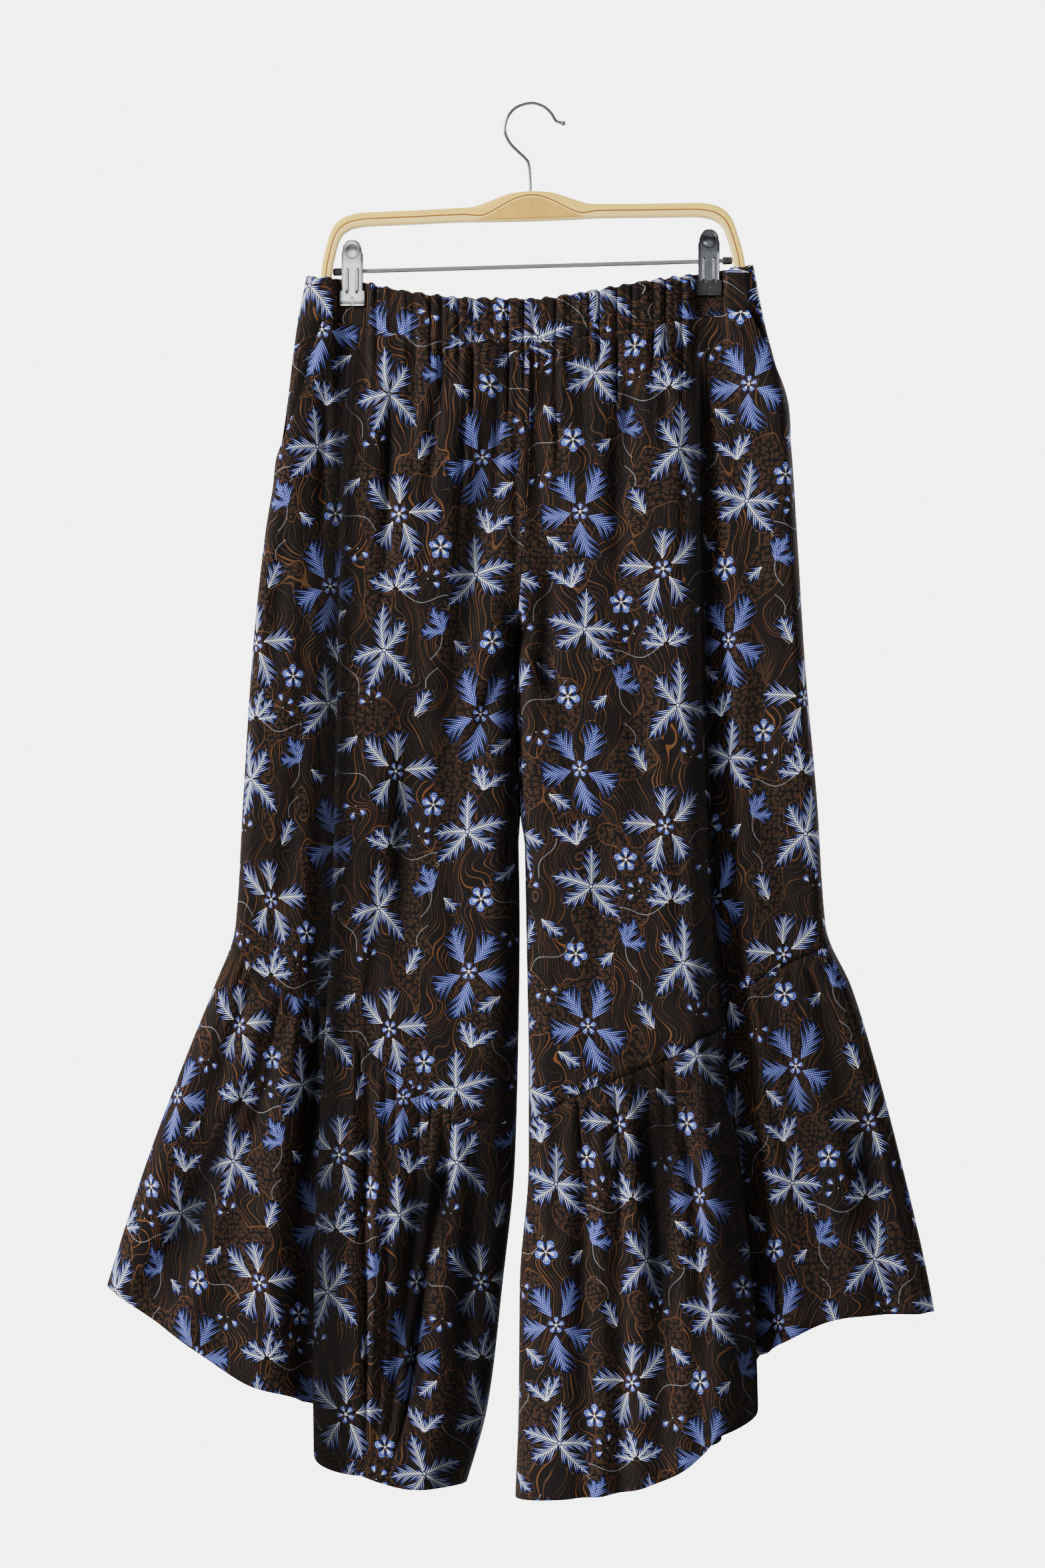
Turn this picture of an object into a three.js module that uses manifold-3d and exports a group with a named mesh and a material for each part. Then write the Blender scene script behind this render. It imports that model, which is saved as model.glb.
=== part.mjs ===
// Wide-leg batik trousers with gathered flounces, hung by two clips from a wooden hanger.
// Millimetres, +Z up, the front faces -Y. The origin is inside the crest of the hanger's hook.
import * as THREE from "three";
import Module from "manifold-3d";
import { mergeVertices } from "three/addons/utils/BufferGeometryUtils.js";

// Driving dimensions

const CLOTH = 1.6;                 // wall of the printed cotton
const BAND = 2.4;                  // the waistband is folded over elastic, so it is thicker
const SEAM = 0.5;                  // space between two pieces at a seam
const GATHERED_SEAM = 0.8;         // the same where a gathered edge meets a plain one
const LAP = 2.9;                   // a pocket edge lies this far in front of its facing
const BAND_HEIGHT = 40;
const GATHERS_BETWEEN_CLIPS = 20;  // on each side of the waistband
const GATHERS_PER_LEG = 7;         // where the waist gathers run on into a leg panel
const GATHERS_PER_FLOUNCE = 11;    // on each of the four flounce panels
const TILT = THREE.MathUtils.degToRad(1.65);

// The waistband's upper edge sags between the clips and ends in two side folds.
const WAIST_EDGE = [
  { x: -203, z: -155 },
  { x: -160, z: -158.5 },
  { x: -124, z: -167 },
  { x: -60, z: -175 },
  { x: 0, z: -176 },
  { x: 50, z: -169.5 },
  { x: 100, z: -160.5 },
  { x: 160, z: -151.5 },
  { x: 201, z: -144.5 },
];

// Where the flounces are sewn on: high at the outseams, low at the inseams.
const FLOUNCE_SEAM = {
  left: [
    { x: -269, z: -749 },
    { x: -248, z: -777 },
    { x: -217, z: -799 },
    { x: -190, z: -812 },
    { x: -116, z: -873 },
    { x: -55, z: -910 },
    { x: -10, z: -917 },
  ],
  right: [
    { x: -4, z: -914 },
    { x: 30, z: -894 },
    { x: 96, z: -866 },
    { x: 134, z: -851 },
    { x: 179, z: -808 },
    { x: 206, z: -784 },
    { x: 267, z: -755 },
  ],
};

// The hem steps down where the inner half of each flounce laps over the outer half.
const HEM = {
  left: [
    { x: -382, z: -1061 },
    { x: -317, z: -1106 },
    { x: -254, z: -1148 },
    { x: -210, z: -1163 },
    { x: -180, z: -1192 },
    { x: -152, z: -1227 },
    { x: -98, z: -1241 },
    { x: -58, z: -1238 },
  ],
  right: [
    { x: -14, z: -1252 },
    { x: 58, z: -1247 },
    { x: 112, z: -1235 },
    { x: 150, z: -1212 },
    { x: 187, z: -1158 },
    { x: 222, z: -1114 },
    { x: 290, z: -1088 },
    { x: 360, z: -1085 },
  ],
};

// Sections of each leg by height: the outseam, the inner edge below the crotch, how far the
// front stands out, and how wide its turn at the inner edge is.
const SECTIONS = {
  left: [
    { z: -155, outer: -201, inner: -15, depth: 14, turn: 14 },
    { z: -197, outer: -210, inner: -15, depth: 16, turn: 14 },
    { z: -290, outer: -222, inner: -15, depth: 22, turn: 14 },
    { z: -386, outer: -239, inner: -15, depth: 25, turn: 14 },
    { z: -500, outer: -251, inner: -15, depth: 26, turn: 14 },
    { z: -626, outer: -259, inner: -12.5, depth: 25, turn: 18 },
    { z: -740, outer: -266, inner: -10.5, depth: 24, turn: 24 },
    { z: -794, outer: -285, inner: -11, depth: 25, turn: 26 },
    { z: -851, outer: -308, inner: -12, depth: 26, turn: 28 },
    { z: -952, outer: -346, inner: -15, depth: 28, turn: 30 },
    { z: -1061, outer: -381, inner: -26, depth: 31, turn: 34 },
    { z: -1168, outer: -412, inner: -39, depth: 33, turn: 38 },
    { z: -1252, outer: -436, inner: -62, depth: 34, turn: 40 },
  ],
  right: [
    { z: -144, outer: 198, inner: -12, depth: 14, turn: 14 },
    { z: -197, outer: 210, inner: -12, depth: 16, turn: 14 },
    { z: -290, outer: 232, inner: -12, depth: 22, turn: 14 },
    { z: -386, outer: 239, inner: -12, depth: 25, turn: 14 },
    { z: -500, outer: 246, inner: -12, depth: 26, turn: 14 },
    { z: -626, outer: 257, inner: -6.5, depth: 25, turn: 16 },
    { z: -740, outer: 265, inner: -4, depth: 24, turn: 18 },
    { z: -794, outer: 288, inner: -3, depth: 25, turn: 18 },
    { z: -851, outer: 306, inner: -2, depth: 26, turn: 18 },
    { z: -952, outer: 333, inner: -2, depth: 28, turn: 20 },
    { z: -1061, outer: 358, inner: -10, depth: 31, turn: 22 },
    { z: -1168, outer: 376, inner: -11, depth: 33, turn: 24 },
    { z: -1252, outer: 390, inner: -14, depth: 34, turn: 24 },
  ],
};

// The line of the centre front and back seams down to the crotch.
const CENTRE_SEAM = [
  { z: -170, x: -1 },
  { z: -300, x: -2 },
  { z: -400, x: -7 },
  { z: -500, x: -13.5 },
];
const CROTCH = { z: -500, seamTurnsFrom: -425 };

// Slant pocket edges. Each reaches the outseam where its facing ends.
const POCKETS = {
  left: [
    { z: -190, x: -185 },
    { z: -222, x: -196 },
    { z: -260, x: -206 },
    { z: -299, x: -219 },
    { z: -335, x: -232 },
  ],
  right: [
    { z: -178, x: 191 },
    { z: -209, x: 206 },
    { z: -241, x: 219 },
    { z: -262, x: 226.5 },
    { z: -290, x: 232 },
  ],
};
const FACING = { underlap: 9, turn: 12, shortOfPocket: 12, rows: 6, turnCells: 4, runCells: 4 };

// The long fold down each leg: the half nearer the inseam laps over the outer half.
// edge is where it folds, half its reach to each side, lap how far it doubles over,
// drop how far the outer half lies back, rise how far the inner half stands forward.
const LONG_FOLDS = {
  left: [
    { z: -190, edge: -160, half: 6, lap: 0, drop: 0, rise: 0 },
    { z: -300, edge: -165, half: 9, lap: 1.5, drop: 4, rise: 2 },
    { z: -410, edge: -170, half: 12, lap: 4.5, drop: 6, rise: 3 },
    { z: -590, edge: -173, half: 14, lap: 7, drop: 7, rise: 4 },
    { z: -716, edge: -175, half: 15, lap: 9, drop: 8, rise: 4 },
    { z: -851, edge: -179, half: 19, lap: 14, drop: 9, rise: 5 },
    { z: -986, edge: -182, half: 23, lap: 20, drop: 10, rise: 6 },
    { z: -1148, edge: -180, half: 26, lap: 26, drop: 11, rise: 7 },
    { z: -1252, edge: -177, half: 27, lap: 28, drop: 11, rise: 7 },
  ],
  right: [
    { z: -180, edge: 156, half: 6, lap: 0, drop: 0, rise: 0 },
    { z: -300, edge: 155, half: 8, lap: 1, drop: 3, rise: 2 },
    { z: -464, edge: 155, half: 10, lap: 3, drop: 5, rise: 3 },
    { z: -590, edge: 158, half: 12, lap: 5, drop: 6, rise: 4 },
    { z: -689, edge: 160, half: 14, lap: 8, drop: 8, rise: 4 },
    { z: -851, edge: 170, half: 18, lap: 13, drop: 9, rise: 5 },
    { z: -986, edge: 181, half: 22, lap: 19, drop: 10, rise: 6 },
    { z: -1103, edge: 188, half: 24, lap: 23, drop: 11, rise: 7 },
    { z: -1252, edge: 190, half: 25, lap: 25, drop: 11, rise: 7 },
  ],
};
// The backs have the same folds, set further in and shallower.
const BACK_FOLDS = { inward: 24, size: 0.75 };

// Softer troughs: centre, half length down the leg, half width, depth, and drift in x for
// each millimetre of height.
const FRONT_TROUGHS = [
  { x: -55, z: -410, reach: 210, width: 14, depth: 5, drift: 0.11 },
  { x: 3, z: -300, reach: 100, width: 9, depth: 4, drift: -0.04 },
  { x: -111, z: -280, reach: 42, width: 9, depth: 3, drift: 0.22 },
  { x: 87, z: -276, reach: 36, width: 9, depth: 3, drift: 0.07 },
  { x: 92, z: -560, reach: 150, width: 16, depth: 3, drift: -0.05 },
  { x: -112, z: -640, reach: 160, width: 17, depth: 3, drift: 0.04 },
  { x: 108, z: -985, reach: 120, width: 14, depth: 8, drift: -0.09 },
  { x: 301, z: -945, reach: 62, width: 13, depth: 6, drift: -0.1 },
  { x: -104, z: -1060, reach: 130, width: 15, depth: 7, drift: 0.05 },
  { x: -298, z: -985, reach: 90, width: 16, depth: 6, drift: 0.3 },
];
const BACK_TROUGHS = [
  { x: 60, z: -390, reach: 190, width: 15, depth: 5, drift: -0.1 },
  { x: -2, z: -300, reach: 110, width: 9, depth: 4, drift: 0.03 },
  { x: -98, z: -300, reach: 50, width: 10, depth: 3, drift: 0.15 },
  { x: -70, z: -700, reach: 140, width: 15, depth: 3, drift: 0.04 },
  { x: 96, z: -1010, reach: 110, width: 15, depth: 7, drift: -0.06 },
  { x: -262, z: -960, reach: 80, width: 15, depth: 6, drift: 0.25 },
  { x: 268, z: -1000, reach: 80, width: 15, depth: 6, drift: -0.2 },
];

// The waistband between the clips, at the clips and at the side folds.
const WAIST = { height: -200, between: 15, side: 9.6, pinched: 1.6, spread: 110 };
const CLIPS = [
  { name: "left", x: -161, top: -123 },
  { name: "right", x: 160, top: -113.5 },
];
const JAW = { flat: 12.2, ease: 5.6 };

// Hanger
const FRAME = { top: -78.4, centre: -0.6, depth: 12, bevel: 1.4 };
const FRAME_OUTER = [
  { x: 20, z: -2 },
  { x: 34, z: -6.8 },
  { x: 52, z: -12.6 },
  { x: 100, z: -14.2 },
  { x: 152, z: -15 },
  { x: 168, z: -18.4 },
  { x: 178, z: -26.5 },
  { x: 184.5, z: -42 },
  { x: 190, z: -64 },
];
const FRAME_END = { outer: 192, inner: 182, z: -80 };
const FRAME_INNER = [
  { x: 180, z: -64 },
  { x: 174.5, z: -43 },
  { x: 169, z: -33.5 },
  { x: 160, z: -28.6 },
  { x: 145, z: -26.8 },
  { x: 60, z: -25.4 },
];
const FRAME_UNDERSIDE = -26.5;
const BLOCK = { half: 50, top: -5.6, bottom: -24.2 };
const ROD = { radius: 2, z: -67.2, halfLength: 179.9 };
const CAP = { radius: 3.5, bore: 2.3, length: 8.5 };
const WIRE = { radius: 1.4, stemClear: 0.4 };
// The hook's centre line, from inside the wood up the stem and round to its ball.
const HOOK_LINE = [
  { x: -0.6, z: -83.6 },
  { x: -0.8, z: -68 },
  { x: -2, z: -54.2 },
  { x: -4.6, z: -49 },
  { x: -11.3, z: -42.6 },
  { x: -19.4, z: -34 },
  { x: -23.6, z: -23.4 },
  { x: -21.2, z: -11.6 },
  { x: -13.6, z: -2.6 },
  { x: 0, z: 1.4 },
  { x: 11.4, z: -1.8 },
  { x: 18.4, z: -8.2 },
  { x: 22.4, z: -14.6 },
  { x: 28.2, z: -16.6 },
];
const BALL = { x: 28.9, z: -16.9, radius: 2.3 };

// Half widths and spacing of a clip plate, by distance below its round top.
const PLATE = [
  { down: 0, half: 2.6, out: 9.6 },
  { down: 1.6, half: 5.2, out: 9.2 },
  { down: 4.4, half: 7.4, out: 8.5 },
  { down: 8.2, half: 8.2, out: 7.6 },
  { down: 12, half: 9.3, out: 6.7 },
  { down: 22, half: 9.4, out: 4.9 },
  { down: 28, half: 9.4, out: 4.6 },
  { down: 44.6, half: 9.4, out: 4.2 },
  { down: 45.6, half: 11.4, out: 4.1 },
  { down: 57.4, half: 11.4, out: 4 },
  { down: 58.5, half: 10.6, out: 4 },
];
const PLATE_THICK = 1.2;
const BARREL = { radius: 3.4, bore: 2.3, length: 15 };

// Materials

const finish = (color, roughness, metalness = 0) =>
  new THREE.MeshStandardMaterial({ color, roughness, metalness });
const MATERIALS = {
  batik: finish(0x1e1612, 0.85),
  wood: finish(0xdcb878, 0.45),
  block: finish(0xa9794a, 0.5),
  chrome: finish(0xc8ccd0, 0.15, 1),
  rubber: finish(0x151515, 0.8),
};

// Reading the tables

const { clamp, smoothstep } = THREE.MathUtils;
const mix = (a, b, t) => a + (b - a) * t;
const QUARTER = Math.PI / 2;

// A smooth curve through one column of a table, as a function of another column.
function curve(rows, along, column) {
  const sorted = [...rows].sort((a, b) => a[along] - b[along]);
  const at = sorted.map((row) => row[along]);
  const value = sorted.map((row) => row[column]);
  const last = at.length - 1;
  const step = (i) => (value[i + 1] - value[i]) / (at[i + 1] - at[i]);
  const slope = at.map((_, i) => {
    if (i === 0 || i === last) return step(Math.min(i, last - 1));
    const before = step(i - 1);
    const after = step(i);
    return before * after > 0 ? (2 * before * after) / (before + after) : 0;
  });
  return (x) => {
    if (x <= at[0]) return value[0] + slope[0] * (x - at[0]);
    if (x >= at[last]) return value[last] + slope[last] * (x - at[last]);
    let i = 0;
    while (x > at[i + 1]) i += 1;
    const width = at[i + 1] - at[i];
    const t = (x - at[i]) / width;
    const rest = 1 - t;
    const start = value[i] * (1 + 2 * t) * rest * rest + slope[i] * width * t * rest * rest;
    const end = value[i + 1] * t * t * (3 - 2 * t) - slope[i + 1] * width * t * t * rest;
    return start + end;
  };
}

// All columns of a table by height.
function table(rows) {
  const columns = Object.keys(rows[0]).filter((column) => column !== "z");
  const curves = columns.map((column) => [column, curve(rows, "z", column)]);
  return (z) => Object.fromEntries(curves.map(([column, read]) => [column, read(z)]));
}

// Waist

const waistEdge = curve(WAIST_EDGE, "x", "z");
const waistSeam = (x) => waistEdge(x) - BAND_HEIGHT;

// How firmly the clips press the waistband together: 1 in the jaws, less below them.
function pinch(x, z) {
  let most = 0;
  for (const clip of CLIPS) {
    const side = 1 - smoothstep(Math.abs(x - clip.x), JAW.flat, JAW.flat + JAW.ease);
    const under = clamp((clip.top - PLATE.at(-1).down - z) / 18, 0, 1);
    most = Math.max(most, side * (1 - 0.3 * smoothstep(under, 0, 1)));
  }
  return most;
}

// Distance of the waistband's wall from the plane between front and back.
function waistLevel(x, z) {
  const inside = CLIPS[1].x - Math.abs(x);
  const open = mix(WAIST.side, WAIST.between, smoothstep(inside, 10, 70));
  return mix(open, WAIST.pinched, pinch(x, z));
}

// Uneven gathers: waves whose size and spacing vary along the row.
function gather(turns, seed) {
  const wander = 0.5 * Math.sin(turns * 0.9 + seed) + 0.35 * Math.sin(turns * 2.3 + 2 * seed);
  const size = 0.75 + 0.25 * Math.sin(turns * 1.7 + 3 * seed);
  return size * Math.cos(2 * Math.PI * turns + wander);
}

// Leg surfaces

// A wall that comes round from a seam at the side: p = 1 ends the quarter turn.
function rounding(p, reach) {
  if (p >= 1) return { across: reach * (1 + (p - 1) * QUARTER), out: 1, turned: 0 };
  const turned = Math.cos(p * QUARTER);
  return { across: reach * (1 - turned), out: Math.sin(p * QUARTER), turned };
}
function roundingAt(across, reach) {
  if (across < reach) return Math.acos(1 - Math.max(across, 0) / reach) / QUARTER;
  return 1 + (across / reach - 1) / QUARTER;
}

function troughs(rows, x, z) {
  let depth = 0;
  for (const row of rows) {
    const side = (x - row.x - row.drift * (z - row.z)) / row.width;
    const along = (z - row.z) / row.reach;
    depth += row.depth * Math.exp(-side * side - along * along);
  }
  return depth;
}

// Everything that shapes one side of one leg.
function legSide(name, face) {
  const inward = name === "left" ? 1 : -1;
  const front = face === "front";
  const section = table(SECTIONS[name]);
  const foldTable = table(LONG_FOLDS[name]);
  const centre = curve(CENTRE_SEAM, "z", "x");
  const pocket = curve(POCKETS[name], "z", "x");
  const pocketEnd = POCKETS[name].at(-1).z;
  const sign = front ? -1 : 1;
  const rows = front ? FRONT_TROUGHS : BACK_TROUGHS;
  const seed = (front ? 0 : 2.1) + (name === "left" ? 0.4 : 1.3);

  const fold = (z) => {
    const row = foldTable(z);
    if (front) return row;
    const { size } = BACK_FOLDS;
    return {
      edge: row.edge + inward * BACK_FOLDS.inward,
      half: row.half,
      lap: row.lap * size,
      drop: row.drop * size,
      rise: row.rise * size,
    };
  };
  const crotch = (z) => smoothstep(z, CROTCH.z, CROTCH.seamTurnsFrom);
  const innerEdge = (z) => {
    const apart = (SEAM + CLOTH * Math.cos(crotch(z) * QUARTER)) / 2;
    return mix(section(z).inner, centre(z) - inward * apart, smoothstep(z, CROTCH.z - 12, CROTCH.z));
  };
  const cutOut = (z) => (front && z > pocketEnd ? Math.max(0, inward * (pocket(z) - section(z).outer)) : 0);
  return { inward, sign, section, fold, crotch, innerEdge, cutOut, front, pocketEnd, rows, seed };
}

// Zones across a panel, from the outseam to the inner edge.
const ZONES = {
  leg: [4, 5, 10, 8, 4],
  flounce: [4, 10, 10, 16, 4],
};

// A point of the leg: zone 0 to 4, t 0 to 1 across it, at height z.
function legPoint(side, zone, t, z, extra = 0) {
  const { inward, sign } = side;
  const row = side.section(z);
  const fold = side.fold(z);
  const top = waistSeam(row.outer);

  const cut = side.cutOut(z);
  const pStart = roundingAt(cut, FACING.turn);
  const pRun = Math.max(1.3, pStart + 0.5);
  const pEnd = side.crotch(z);
  const edge = side.innerEdge(z);
  const extreme = edge + inward * row.turn * (1 - Math.cos(pEnd * QUARTER));

  const outerRun = row.outer + inward * rounding(pRun, FACING.turn).across;
  const innerRun = extreme - inward * rounding(1.5, row.turn).across;
  const foldStart = fold.edge - inward * fold.half;
  const foldEnd = fold.edge + inward * fold.half;

  let x;
  let out = 1;
  let turned = 0;
  let bend = 0;
  let level = row.depth;
  const start = Math.max(inward * outerRun + 2, inward * foldStart) * inward;
  if (zone === 0) {
    const round = rounding(mix(pStart, pRun, t), FACING.turn);
    x = row.outer + inward * round.across;
    out = round.out;
    turned = round.turned;
  } else if (zone === 1) {
    x = mix(outerRun, start, t);
  } else if (zone === 2) {
    x = mix(start, foldEnd, t);
    bend = -fold.lap * Math.sin(Math.PI * (2 * t - 1)) * inward;
  } else if (zone === 3) {
    x = mix(foldEnd, innerRun, t);
  } else {
    const round = rounding(mix(1.5, pEnd, t), row.turn);
    x = extreme - inward * round.across;
    out = round.out;
  }

  if (zone < 2) {
    const away = (inward * (start - x)) / 55;
    level -= fold.drop * Math.exp(-away * away);
  } else if (zone === 2) {
    const stair = (smoothstep(t, 0.17, 0.47) + smoothstep(t, 0.53, 0.83)) / 2;
    level += mix(-fold.drop, fold.rise, stair);
  } else {
    const away = (inward * (x - foldEnd)) / 60;
    level += fold.rise * Math.exp(-away * away);
  }
  level -= troughs(side.rows, x, z);

  const seam = waistSeam(x);
  const below = clamp((seam - z) / WAIST.spread, 0, 1);
  level = mix(waistLevel(x, seam), level, smoothstep(below, 0, 1));
  const across = (x - row.outer) / (edge - row.outer);
  const fading = Math.sin(Math.PI * clamp(below * 1.6, 0, 1)) * (1 - pinch(x, seam));
  level += 2.2 * fading * gather(GATHERS_PER_LEG * across, side.seed);
  level += extra;

  const lapped = clamp((side.pocketEnd - FACING.shortOfPocket - z) / -30, 0, 1);
  const overFacing = 1 - smoothstep(inward * (x - row.outer) - cut, FACING.underlap, FACING.underlap + 25);
  const lift = side.front ? LAP * lapped * overFacing : 0;
  const depth = Math.max(SEAM / 2, (level + lift) * out);
  return new THREE.Vector3(x + bend - inward * lift * turned, sign * depth, Math.min(z, top));
}

// Height of an edge line where a column of the panel meets it.
function edgeHeight(side, zone, t, line) {
  let z = line(side.fold(-900).edge);
  for (let i = 0; i < 12; i += 1) {
    z = line(legPoint(side, zone, t, z).x - foldShift(side, zone, t, z));
  }
  return z;
}
function foldShift(side, zone, t, z) {
  if (zone !== 2) return 0;
  return -side.fold(z).lap * Math.sin(Math.PI * (2 * t - 1)) * side.inward;
}

function slopeDown(side, zone, t, z) {
  const step = 2;
  return legPoint(side, zone, t, z - step).sub(legPoint(side, zone, t, z + step));
}

function columnsOf(cells) {
  const columns = [];
  cells.forEach((count, zone) => {
    for (let i = 0; i < count; i += 1) columns.push({ zone, t: i / count });
  });
  columns.push({ zone: cells.length - 1, t: 1 });
  return columns;
}

// Walls

// Direction along a row of points; at its ends it follows the row's bend.
function alongRow(row, c) {
  const last = row.length - 1;
  if (c > 0 && c < last) return row[c + 1].clone().sub(row[c - 1]);
  const inward = c === 0 ? 1 : -1;
  const next = row[c + inward];
  const beyond = row[c + 2 * inward];
  return next.clone().multiplyScalar(4).addScaledVector(row[c], -3).sub(beyond).multiplyScalar(inward);
}

// A closed wall of even thickness about a grid of points, rows[r][c]. slopes can hold the
// directions down its first and last row, where it meets another wall.
function wall(rows, thickness, slopes = {}) {
  const height = rows.length;
  const width = rows[0].length;
  const pick = (r, c) => rows[clamp(r, 0, height - 1)][c];
  const positions = [];
  for (const way of [0.5, -0.5]) {
    for (let r = 0; r < height; r += 1) {
      for (let c = 0; c < width; c += 1) {
        const across = alongRow(rows[r], c);
        const known = slopes[r] ?? slopes[r - height];
        const down = known ? known[c].clone() : pick(r + 1, c).clone().sub(pick(r - 1, c));
        const normal = across.cross(down).normalize();
        const point = rows[r][c].clone().addScaledVector(normal, way * thickness);
        positions.push(point.x, point.y, point.z);
      }
    }
  }
  const near = (r, c) => r * width + c;
  const far = (r, c) => near(r, c) + width * height;
  const index = [];
  const quad = (a, b, c, d) => index.push(a, b, c, a, c, d);
  for (let r = 0; r < height - 1; r += 1) {
    for (let c = 0; c < width - 1; c += 1) {
      quad(near(r, c), near(r, c + 1), near(r + 1, c + 1), near(r + 1, c));
      quad(far(r, c), far(r + 1, c), far(r + 1, c + 1), far(r, c + 1));
    }
    quad(near(r, 0), near(r + 1, 0), far(r + 1, 0), far(r, 0));
    quad(near(r + 1, width - 1), near(r, width - 1), far(r, width - 1), far(r + 1, width - 1));
  }
  for (let c = 0; c < width - 1; c += 1) {
    quad(near(0, c), far(0, c), far(0, c + 1), near(0, c + 1));
    const end = height - 1;
    quad(near(end, c), near(end, c + 1), far(end, c + 1), far(end, c));
  }
  return facingOut(positions, index);
}

// An indexed geometry with its triangles turned outwards.
function facingOut(positions, index) {
  const corner = (i) => new THREE.Vector3().fromArray(positions, 3 * index[i]);
  let volume = 0;
  for (let i = 0; i < index.length; i += 3) {
    volume += corner(i).dot(corner(i + 1).cross(corner(i + 2)));
  }
  if (volume < 0) {
    for (let i = 0; i < index.length; i += 3) {
      [index[i], index[i + 1]] = [index[i + 1], index[i]];
    }
  }
  const geometry = new THREE.BufferGeometry();
  geometry.setAttribute("position", new THREE.Float32BufferAttribute(positions, 3));
  geometry.setIndex(index);
  geometry.computeVertexNormals();
  return geometry;
}

function mesh(name, geometry, material) {
  const piece = new THREE.Mesh(geometry, material);
  piece.name = name;
  return piece;
}

// Trouser pieces

const LEG_ROWS = {
  front: [0, 0.04, 0.085, 0.125, 0.165, 0.205, 0.25, 0.34, 0.42, 0.5, 0.65, 0.83, 0.985, 1],
  back: [0, 0.05, 0.14, 0.25, 0.36, 0.44, 0.56, 0.7, 0.85, 0.985, 1],
};
const FLOUNCE_ROWS = [0, 0.04, 0.12, 0.3, 0.5, 0.75, 1];
const BAND_ROWS = [0, 0.6, 1];     // the second row is just below the clips' jaws

function legPanel(name, face) {
  const side = legSide(name, face);
  const seamLine = curve(FLOUNCE_SEAM[name], "x", "z");
  const columns = columnsOf(ZONES.leg).map(({ zone, t }) => {
    const top = edgeHeight(side, zone, t, waistSeam) - GATHERED_SEAM / 2;
    const bottom = edgeHeight(side, zone, t, seamLine) + GATHERED_SEAM / 2;
    return { zone, t, top, bottom };
  });
  const rows = LEG_ROWS[face].map((v) =>
    columns.map(({ zone, t, top, bottom }) => legPoint(side, zone, t, mix(top, bottom, v))));
  const atSeam = columns.map(({ zone, t, bottom }) => slopeDown(side, zone, t, bottom));
  return mesh(`${name}_leg_${face}`, wall(rows, CLOTH, { [-1]: atSeam }), MATERIALS.batik);
}

function flouncePanel(name, face) {
  const side = legSide(name, face);
  const seamLine = curve(FLOUNCE_SEAM[name], "x", "z");
  const hemLine = curve(HEM[name], "x", "z");
  const columns = columnsOf(ZONES.flounce);
  const cells = columns.length - 1;
  const ends = columns.map(({ zone, t }, i) => {
    const top = edgeHeight(side, zone, t, seamLine) - GATHERED_SEAM / 2;
    const bottom = edgeHeight(side, zone, t, hemLine);
    return { zone, t, top, bottom, turns: (GATHERS_PER_FLOUNCE * i) / cells };
  });
  const rows = FLOUNCE_ROWS.map((v) =>
    ends.map(({ zone, t, top, bottom, turns }) => {
      const size = 3.2 * smoothstep(v, 0, 0.12) + 1.2 * smoothstep(v, 0.1, 1);
      return legPoint(side, zone, t, mix(top, bottom, v), size * gather(turns, side.seed + 0.8));
    }));
  const atSeam = ends.map(({ zone, t, top }) => slopeDown(side, zone, t, top));
  return mesh(`${name}_flounce_${face}`, wall(rows, CLOTH, { 0: atSeam }), MATERIALS.batik);
}

// The facing behind a slant pocket edge, made from the front panel's points and moved in.
function pocketFacing(name) {
  const front = legSide(name, "front");
  const side = { ...front, cutOut: () => 0, pocketEnd: Infinity };
  const end = front.pocketEnd + FACING.shortOfPocket;
  const start = waistSeam(front.section(WAIST.height).outer) - SEAM / 2;
  const rows = [];
  for (let r = 0; r <= FACING.rows; r += 1) {
    const z = mix(start, end, r / FACING.rows);
    const tuck = LAP * smoothstep(r / FACING.rows, 0.4, 1);
    const shown = front.cutOut(z) + FACING.underlap;
    rows.push(facingColumns(side, z, shown).map(({ zone, t }) => {
      const point = legPoint(side, zone, t, z);
      const { turned } = rounding(zone === 0 ? 1.3 * t : 1, FACING.turn);
      point.x += front.inward * tuck * turned;
      point.y = Math.min(-SEAM / 2, point.y + tuck * (1 - turned));
      point.z = Math.min(z, waistSeam(point.x) - SEAM / 2);
      return point;
    }));
  }
  return mesh(`pocket_facing_${name}`, wall(rows, CLOTH), MATERIALS.batik);
}

// Columns of a facing: round the side, then on to where it ends under the front panel.
function facingColumns(side, z, shown) {
  const turnEnd = side.inward * (legPoint(side, 1, 0, z).x - side.section(z).outer);
  const runEnd = side.inward * (legPoint(side, 2, 0, z).x - side.section(z).outer);
  const reach = clamp((shown - turnEnd) / (runEnd - turnEnd), 0.05, 0.95);
  const columns = [];
  for (let i = 0; i < FACING.turnCells; i += 1) columns.push({ zone: 0, t: i / FACING.turnCells });
  for (let i = 0; i <= FACING.runCells; i += 1) columns.push({ zone: 1, t: (reach * i) / FACING.runCells });
  return columns;
}

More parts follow.
